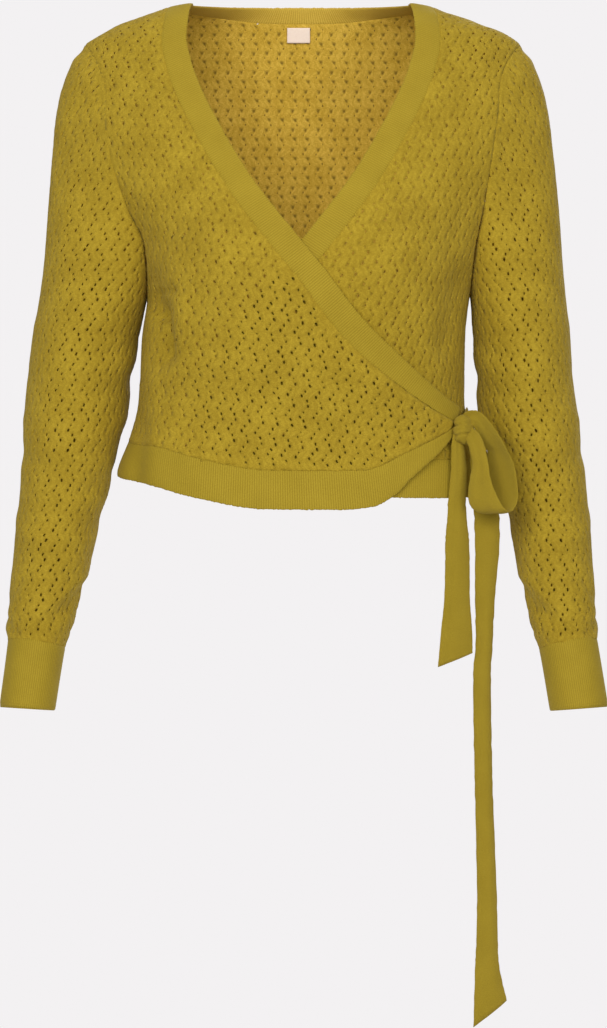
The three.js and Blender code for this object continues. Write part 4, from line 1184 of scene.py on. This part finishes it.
# %% The sleeves' measured sections
# z, centre to the right, half-width there, centre to the left, half-width there, y, half-depth
SLEEVE = [
    (-300, -198.8, 49.6, 204.5, 45.5, 2, 57), (-350, -206, 48.8, 207.5, 45.8, 2, 55),
    (-400, -213.5, 45, 216.5, 43, -1, 51), (-450, -219.5, 41.2, 225, 39.8, -6, 47),
    (-500, -228, 36.8, 232.5, 36, -13, 42), (-550, -236.5, 33, 239, 32.8, -21, 37.5),
    (-578, -241.3, 30, 243, 30, -26, 34), (-592, -243, 26.5, 245.5, 27, -28.5, 31),
    (-652, -250.5, 25.4, 254.5, 26.6, -37, 30),
]
# height, side where it is deepest (degrees from the outside, towards the front), slant, width, depth
SLEEVE_FOLDS = [
    (-352, 165, 0.35, 12, -3.2), (-392, 150, 0.5, 13, 2.6), (-430, 60, -0.4, 12, -2.4),
    (-470, 200, 0.45, 14, -2.8), (-512, 120, -0.5, 12, 2.2), (-556, 150, 0.7, 11, -3.4),
    (-574, 330, -0.4, 9, 2.0),
]
# z, how far the cap's outer side lies outside its smooth lines
CAP_FULLNESS = [
    (-38, 0), (-50, 4.2), (-75, 4.6), (-110, 2), (-135, -0.8), (-180, -2.8), (-230, -3.2), (-280, -1.6),
    (-300, 0),
]
FINE_SLEEVE_FOLDS = [
    (-326, 130, 0.5, 8, -1.3), (-372, 70, 0.4, 8, 1.2), (-448, 140, 0.5, 7, -1.4),
    (-488, 40, -0.5, 8, 1.2), (-530, 60, 0.8, 7, -1.5), (-540, 250, 0.6, 8, -1.4),
    (-568, 90, 0.9, 5, 1.6), (-580, 40, -0.5, 5, -1.5), (-580, 190, 0.6, 5, -1.4),
    (-410, 300, -0.5, 9, 1.3), (-360, 260, 0.4, 9, -1.4),
]
sleeve_x = {-1: curve(SLEEVE, 1), 1: curve(SLEEVE, 3)}
sleeve_half = {-1: curve(SLEEVE, 2), 1: curve(SLEEVE, 4)}
sleeve_y, sleeve_deep = curve(SLEEVE, 5), curve(SLEEVE, 6)
CAP_END, CUFF_TOP, CUFF_END = -300.0, -592.0, -652.0
CUFF_COVERS, CAP_FADE = -1.5, 0.15
# how high a fold climbs for a slant of 1, and how narrow it is round the sleeve; folds fade at cap and cuff
FOLD_CLIMB, FOLD_NARROW, CUFF_CALM = 40, 1.5, 14
FOLDS_FROM, FOLDS_OVER = -280, 30
# the cap's lines are Bezier curves: how far the pulls reach, and how far a line starts before the armhole
CAP_PULL, CAP_BEFORE, CAP_TURN, CAP_OUT, CAP_DOWN = 0.36, -0.06, 1.25, 0.12, 0.35
SLEEVE_ACROSS = (-210, 211)


def sleeve_centre(hand, z):
    z = np.asarray(z, float)
    return np.stack([sleeve_x[hand](z), sleeve_y(z), z], -1)


def sleeve_point(hand, z, at):
    z, at = np.broadcast_arrays(np.asarray(z, float), np.asarray(at, float))
    down = unit(sleeve_centre(hand, z - 1) - sleeve_centre(hand, z + 1))
    out = unit(np.array([hand, 0.0, 0.0]) - hand * down * down[..., :1])
    fore = np.cross(down, out)
    fore = unit(np.where(fore[..., 1:2] > 0, -fore, fore))
    wide = (sleeve_half[hand](z) * np.cos(at))[..., None]
    deep = (sleeve_deep(z) * np.sin(at))[..., None]
    return sleeve_centre(hand, z) + out * wide + fore * deep


def sleeve_fold(z, at):
    total = np.zeros(np.shape(z))
    for level, side, slant, wide, deep in SLEEVE_FOLDS + FINE_SLEEVE_FOLDS:
        turn = at - math.radians(side)
        away = (z - level - slant * FOLD_CLIMB * np.sin(turn)) / wide
        total += deep * ((1 + np.cos(turn)) / 2) ** FOLD_NARROW * np.exp(-away * away)
    return total * ease((z - CUFF_TOP) / CUFF_CALM)


def cap_fullness(p, at):
    fade = np.where(p[..., 2] < ARM_MID, 1, ease((1 - in_armhole(p)) / CAP_FADE))
    return curve(CAP_FULLNESS, 1)(p[..., 2]) * np.maximum(0, np.cos(at)) * fade


print("sleeve rows:", len(SLEEVE))

# %% Sleeve chart


def cap_line(hand, at):
    """The line down the cap from the armhole, for one place round the sleeve; at is negative behind."""
    side = FRONT if at >= 0 else BACK
    inner = abs(at)
    start = armhole_point(inner, hand, side)
    before, after = (armhole_point(inner + step, hand, side) for step in (-0.01, 0.01))
    run = unit(after - before)
    across = np.cross(run, unit(way_out(start, side)[1]))
    if across @ (np.array([start[0], 0, ARM_MID]) - start) < 0:
        across = -across
    low = (1 - math.cos(inner)) / 2
    finish = sleeve_point(hand, CAP_END, at)
    reach = np.linalg.norm(start - finish)
    down = np.array([hand * CAP_OUT, 0, -1])
    leave = unit(across * (1 - ease(low * CAP_TURN)) + down * (CAP_DOWN + low))
    arrive = unit(sleeve_point(hand, CAP_END - 12, at) - finish)
    first, second = start + leave * reach * CAP_PULL, finish - arrive * reach * CAP_PULL
    t = np.linspace(CAP_BEFORE, 1, 90)[:, None]
    u = 1 - t
    bezier = start * u**3 + 3 * first * u * u * t + 3 * second * u * t * t + finish * t**3
    tube = sleeve_point(hand, np.arange(CAP_END - 4, CUFF_TOP - 21, -4.0), at)
    return start, np.concatenate([bezier, tube])


def sleeve_chart(hand):
    around = np.radians(np.arange(-180, 181, 2.0))
    outer = len(around) // 2
    starts, lines = zip(*(cap_line(hand, at) for at in around))
    reach = lengths(lines[outer])
    falling = -lines[outer][:, 2]
    top = np.interp(-starts[outer][2], falling, reach)
    v = np.arange(-(reach[-1] - top) + 3, 14, CHART_STEP)
    levels = -np.interp(top - v, reach, falling)
    s = np.arange(*SLEEVE_ACROSS, CHART_STEP)
    points = np.zeros((len(v), len(s), 3))
    angles = np.zeros((len(v), len(s), 1))
    places = np.full((len(v), len(around)), np.nan)
    for j, z in enumerate(levels):
        ring = np.stack([spread(-line[:, 2], line, -z) for line in lines])
        reached = np.array([line[0, 2] >= z for line in lines])
        first, last = outer, outer
        while first > 0 and reached[first - 1]:
            first -= 1
        while last < len(around) - 1 and reached[last + 1]:
            last += 1
        arc = lengths(ring)
        arc -= arc[outer]
        places[j, first : last + 1] = arc[first : last + 1]
        part = slice(first, last + 1)
        points[j] = spread(arc[part], ring[part], s)
        angles[j, :, 0] = np.interp(s, arc[part], around[part])
        for end, step in ((first, 1), (last, -1)):
            beyond = s < arc[first] if step > 0 else s > arc[last]
            if first != last:
                way = unit(ring[end] - ring[end + step])
                points[j, beyond] = ring[end] + way * np.abs(s[beyond] - arc[end])[:, None]
    along_s = np.gradient(points, axis=1)
    along_v = np.gradient(points, axis=0)
    normals = unit(np.cross(along_s, along_v))
    middle = sleeve_centre(hand, points[..., 2])
    outwards = ((points - middle) * normals)[20:-60].sum()
    normals *= 1 if outwards > 0 else -1
    chart = {"s0": s[0], "v0": v[0], "points": points, "normals": normals, "angles": angles}
    foot = sleeve_point(hand, CUFF_TOP + CUFF_COVERS, around)
    borders = []
    for ends in (np.array(starts), foot):
        at_v = np.interp(ends[:, 2], levels, v)
        at_s = []
        for k in range(len(around)):
            known = ~np.isnan(places[:, k])
            at_s.append(np.interp(at_v[k], v[known], places[known, k]))
        borders.append(np.stack([at_s, at_v], -1))
    seams = [np.stack([places[:, k], v], -1) for k in (0, -1)]
    return chart, borders, seams


def sleeve(name, hand, seed):
    chart, (cap, foot), seams = sleeve_chart(hand)
    behind, before = (
        seam[(seam[:, 1] < cap[end, 1] - 1) & (seam[:, 1] > foot[end, 1] + 1)]
        for seam, end in zip(seams, (0, -1))
    )
    outline = np.concatenate([cap, before[::-1], foot[::-1], behind])
    rear = lambda flat: flat[0] < 0

    def place(flat):
        point = look_up(chart, flat[:, 0], flat[:, 1])
        normal = unit(look_up(chart, flat[:, 0], flat[:, 1], "normals"))
        at = look_up(chart, flat[:, 0], flat[:, 1], "angles")[:, 0]
        fold = sleeve_fold(point[:, 2], at) * ease((FOLDS_FROM - point[:, 2]) / FOLDS_OVER)
        fold = fold + cap_fullness(point, at)
        return point + normal * fold[:, None], normal

    net(f"{name}_sleeve", outline, place, tilt=0, lean_turn=hand * 8 - 10, seed=seed, blind=rear)


sleeve("right", -1, 41)
sleeve("left", 1, 43)

# %% [markdown]
# ## Cuffs
# The cuffs are plain rib tubes; they hug the wrist a little more than the
# sleeve.

# %% Cuffs
# the gap to the sleeve; how much longer a cuff is along its slope than upright; rounding of its edges
CUFF_GAP, CUFF_SLOPE, CUFF_EDGE = 0.8, 1.02, 0.06


def cuff(name, hand):
    at = np.linspace(0, 2 * math.pi, 97)[:-1]
    k = np.linspace(0, 1, 22)
    z = CUFF_TOP + CUFF_GAP + (CUFF_END - CUFF_TOP - CUFF_GAP) * k
    point = sleeve_point(hand, z[:, None], at[None, :])
    normal = unit(point - sleeve_centre(hand, z)[:, None])
    sunk = rounded_profile(k, BAND_THICK, CUFF_EDGE)[:, None, None]
    wave = (0.35 * np.sin(3 * at + 1) + 0.25 * np.sin(7 * at))[None, :, None] * k[:, None, None]
    outer = point - normal * (sunk - wave)
    inner = point - normal * (BAND_THICK - sunk - wave)
    around = np.linalg.norm(np.roll(point, -1, axis=1) - point, axis=2).sum(1).max()
    flat = np.stack(np.broadcast_arrays(at[None, :] / (2 * math.pi) * around, -z[:, None]), -1)
    piece = grid_shell(f"{name}_cuff", outer, inner, flat, rib_knit, closed=True)


cuff("right", -1)
cuff("left", 1)

# %% [markdown]
# ## The tie
# A ribbon of fine knit is wound into a knot, with one loop and two tails. It is modelled directly along
# its path, because a simulation would lose the exact loop. Each row gives the ribbon's two edges; a
# spline joins the rows.

# %% Ribbons
# Towards its end, the loop's far leg is up to about 8 mm wider than the CAD's, which closes the loop as
# in the photo.
LOOP = [
    (143, -66, -388, 144, -66, -401), (150.5, -70, -380.5, 149, -68, -396),
    (160, -75, -380.3, 154.9, -70, -392.8), (169.7, -78, -388.6, 160, -66, -401),
    (178.5, -80, -401.3, 164, -64, -410), (186.6, -81, -415.7, 170, -63, -417.2),
    (192.9, -80, -430.1, 169, -62, -429.9), (195.6, -80, -447.3, 171, -62, -446.2),
    (195.4, -83, -460.8, 172.1, -66, -460.7), (190.5, -89, -471, 167.3, -73, -472),
    (183.7, -97, -470.5, 156.8, -84, -471.5), (177.3, -99, -461.8, 150.2, -88, -460.8),
    (170.2, -97, -444.7, 151.2, -87, -442.8), (167.9, -92, -428.5, 154, -84, -428.4),
    (165.5, -85, -413.1, 150.8, -79, -412), (160.6, -77, -400.4, 146.6, -73, -402.1),
    (152, -70, -393, 144, -67, -398),
]
# z, the two edges' x, y, and how far the middle bows
SHORT_TAIL = [
    (-401, 138, 148, -66, 2), (-412, 136.4, 148.4, -67, 2.5), (-424.4, 136.2, 149.8, -67, 3),
    (-442.6, 135.2, 150.6, -68, 3), (-460.7, 133.3, 149.6, -69, 3), (-478.8, 132.3, 150.4, -70, 3.5),
    (-496.9, 130.5, 152.2, -70, 4), (-524.1, 130.4, 153, -70, 3.5), (-551.2, 129.4, 153, -71, 3),
    (-578.3, 126.7, 155, -72, 2.5), (-596, 123.8, 155.4, -72, 2),
]
LONG_TAIL = [
    (-396, 148, 158, -62, 2), (-412, 153, 167, -59.5, 2), (-433.4, 154.5, 176.3, -58, 2),
    (-460.7, 156.3, 179, -58, 2.5), (-497, 158.1, 180.8, -60, 3), (-551.5, 158, 176.1, -62, 4),
    (-587.7, 158.6, 174.3, -63, 4.5), (-624, 156.1, 172.4, -64, 5), (-682.9, 156.9, 173.2, -65, 4.5),
    (-728.1, 157.7, 174.1, -66, 4.5), (-773.4, 158.7, 175.9, -66, 4.5), (-818.7, 159.6, 177.7, -66, 4),
    (-864.1, 158.7, 178.6, -66, 4), (-886.7, 157.7, 180.4, -66, 3.5), (-910, 156.2, 186.6, -66, 2.5),
]
RIBBON_THICK, RIBBON_ACROSS, RIBBON_RAGGED = 1.6, 15, 0.15


def spline(rows, per=8):
    """Catmull-Rom curve through rows of numbers."""
    rows = np.asarray(rows, float)
    ext = np.concatenate([2 * rows[:1] - rows[1:2], rows, 2 * rows[-1:] - rows[-2:-1]])
    t = np.linspace(0, 1, per, endpoint=False)[:, None]
    made = []
    for a, b, c, d in zip(ext, ext[1:], ext[2:], ext[3:]):
        squares, cubes = 2 * a - 5 * b + 4 * c - d, 3 * b - a - 3 * c + d
        made.append(0.5 * (2 * b + (c - a) * t + squares * t**2 + cubes * t**3))
    return np.concatenate([*made, rows[-1:]])


def ribbon(name, stations, seed, creases):
    """stations: both edges and the bow for each row. creases: (place across, width, depth, shift) of each
    lengthwise fold."""
    random = np.random.default_rng(seed)
    fine = spline(stations)
    a, b, bow = fine[:, :3], fine[:, 3:6], fine[:, 6]
    k = crowded(RIBBON_ACROSS)
    rows = ruled(a, b, k)
    ahead = np.gradient(rows, axis=0)
    normal = unit(np.cross(ahead, (b - a)[:, None] + 0 * ahead))
    out = 4 * k * (1 - k) * bow[:, None]
    along = lengths((a + b) / 2)
    for place, wide, deep, shift in creases:
        moved = place + 0.06 * np.sin(along / 47 + shift)
        out = out + deep * np.exp(-(((k[None, :] - moved[:, None]) / wide) ** 2))
    edge = ragged(random, RIBBON_RAGGED, len(fine), k)
    point = rows + normal * out[..., None] + unit(b - a)[:, None] * edge[..., None]
    sunk = rounded_profile(k, RIBBON_THICK)[None, :, None]
    outer, inner = both_faces(point, normal, sunk, RIBBON_THICK)
    wide = np.linalg.norm(b - a, axis=1)
    flat = np.stack([k[None, :] * wide[:, None], np.broadcast_to(along[:, None], edge.shape)], -1)
    piece = grid_shell(name, outer, inner, flat, ribbon_knit)
    print(name, "flat", round(wide.max()), "x", round(along[-1]), "mm")


def tail_rows(rows, back_by, ends):
    """Rows of both edges of a hanging tail, whose foot is cut aslant between the two ends' heights."""
    made = [[xa, y - back_by, z, xb, y, z, bow] for z, xa, xb, y, bow in rows]
    made[-1][2], made[-1][5] = ends
    return made


short_rows = tail_rows(SHORT_TAIL, back_by=5, ends=(-611.7, -599.1))
long_rows = tail_rows(LONG_TAIL, back_by=2, ends=(-938.4, -914.5))
ribbon("bow_loop", [(*row, 1.2) for row in LOOP], 51, [(0.55, 0.12, -0.9, 0.5)])
ribbon("short_tail", short_rows, 52, [(0.35, 0.1, -0.9, 1.2)])
ribbon("long_tail", long_rows, 53, [(0.3, 0.1, -1.0, 0.4), (0.75, 0.12, 0.6, 2)])

# %% The strap from the side seam to the knot
# turn from the middle of the front, upper and lower edge, and how far it stands off
STRAP = [
    (89.2, -374, -400, 0), (84, -375, -400, 0), (79, -377, -400, 0), (74, -380, -400, 1.5),
    (69.5, -383, -400, 4.5), (65.5, -386, -401, 8.5), (62, -388, -402, 12.5),
]
# how far it stands off everywhere; height and number of its pleats
STRAP_OFF, PLEAT_HIGH, PLEATS = 2.6, 0.7, 2.5


def strap():
    turn, high, low, off = spline(STRAP).T
    k = np.linspace(0, 1, 13)
    z = high[:, None] + (low - high)[:, None] * k[None, :]
    x = section(1, z, FRONT)[0] * np.sin(np.radians(turn))[:, None]
    deeper = (0.3 + 0.7 * ease((84 - turn) / 12))[:, None]
    pleats = PLEAT_HIGH * np.sin(2 * math.pi * PLEATS * k)[None, :] * deeper
    lift = STRAP_OFF + off[:, None] + pleats
    point, normal = cloth(form_at(x, z, FRONT), FRONT, False, lift)
    sunk = rounded_profile(k, RIBBON_THICK)[None, :, None]
    outer, inner = both_faces(point, normal, sunk, RIBBON_THICK)
    along = lengths(point[:, 6])
    flat = np.stack([k[None, :] * (high - low)[:, None], np.broadcast_to(along[:, None], z.shape)], -1)
    piece = grid_shell("side_strap", outer, inner, flat, ribbon_knit)


strap()

# %% [markdown]
# ## The knot
# The knot is ribbon wound round itself. A lump with soft grooves where one turn of ribbon meets the
# next reads as that; the turns slant a little, as the ribbon pulls to both sides.

# %% Knot
KNOT_CENTRE = np.array([147.7, -68.4, -397])
KNOT_TURN = 50
KNOT_HALF = (10.5, 8, 13.5)
KNOT_SQUARE, KNOT_SLANT = 2.6, 0.12
# grooves between the turns of ribbon: heights from -1 to 1, width, depth; and the turns' small pleats
GROOVES, GROOVE_WIDE, GROOVE_DEEP = (0.34, -0.42), 0.09, 0.17
KNOT_PLEAT, KNOT_HOLLOW = 0.03, 0.8


def knot():
    polar = np.linspace(0.02, math.pi - 0.02, 41)[:, None]
    around = np.linspace(0, 2 * math.pi, 65)[:-1][None, :]
    ball = np.broadcast_arrays(
        np.sin(polar) * np.cos(around), np.sin(polar) * np.sin(around), np.cos(polar)
    )
    ball = np.stack(ball, -1)
    ball /= (np.abs(ball) ** KNOT_SQUARE).sum(-1, keepdims=True) ** (1 / KNOT_SQUARE)
    height = ball[..., 2] + KNOT_SLANT * np.sin(around)
    groove = sum(np.exp(-(((height - at) / GROOVE_WIDE) ** 2)) for at in GROOVES)
    pleat = KNOT_PLEAT * np.sin(9 * height + 2 * np.sin(around))
    local = ball * (1 - GROOVE_DEEP * groove + pleat)[..., None] * KNOT_HALF
    outer = np.concatenate([rotate(local[..., :2], KNOT_TURN), local[..., 2:]], -1)
    inner = outer * KNOT_HOLLOW
    flat = np.stack(np.broadcast_arrays(around * 10, polar * 12), -1)
    outer, inner = outer + KNOT_CENTRE, inner + KNOT_CENTRE
    piece = grid_shell("tie_knot", outer, inner, flat, ribbon_knit, closed=True)


knot()

# %% [markdown]
# ## The neck label
# A small woven satin label is sewn inside the back of the neck. Nothing is written on it. Satin is
# smoother than the knit and has very fine threads across it, so it gets a material of its own.

# %% Label
satin, tree, shader, place = cloth_material("label_satin")
up = split(tree, place)[1]
thread = calc(tree, "SINE", calc(tree, "MULTIPLY", up, 2 * math.pi / 0.35))
shade = calc(tree, "MULTIPLY_ADD", thread, 0.15, noise(tree, place, 0.5))
label_colour = blend_colours(tree, shade, (0.81, 0.65, 0.53, 1), (0.88, 0.74, 0.62, 1))
tree.links.new(label_colour, shader.inputs["Base Color"])
tree.links.new(bumped(tree, thread, 0.3, 0.0001), shader.inputs["Normal"])
set_inputs(shader, Roughness=0.45, Sheen_Weight=0.1)
LABEL_BOX = (-13.4, 8.6, -9.5, -23)
LABEL_THICK, LABEL_IN, LABEL_TALL_M = 0.8, -2.9, 0.0145


def label():
    left, right, top, bottom = LABEL_BOX
    u, w = np.meshgrid(np.linspace(0, 1, 23), np.linspace(0, 1, 15))
    x, z = left + (right - left) * u, top + (bottom - top) * w
    curl = 0.25 * np.sin(math.pi * u) * w
    point, normal = cloth(form_at(x, z, BACK), BACK, False, LABEL_IN - curl)
    inner = point - normal * LABEL_THICK
    piece = grid_shell("neck_label", point, inner, np.stack([x, z], -1), satin)


label()

# %% Finish
print("scene built")
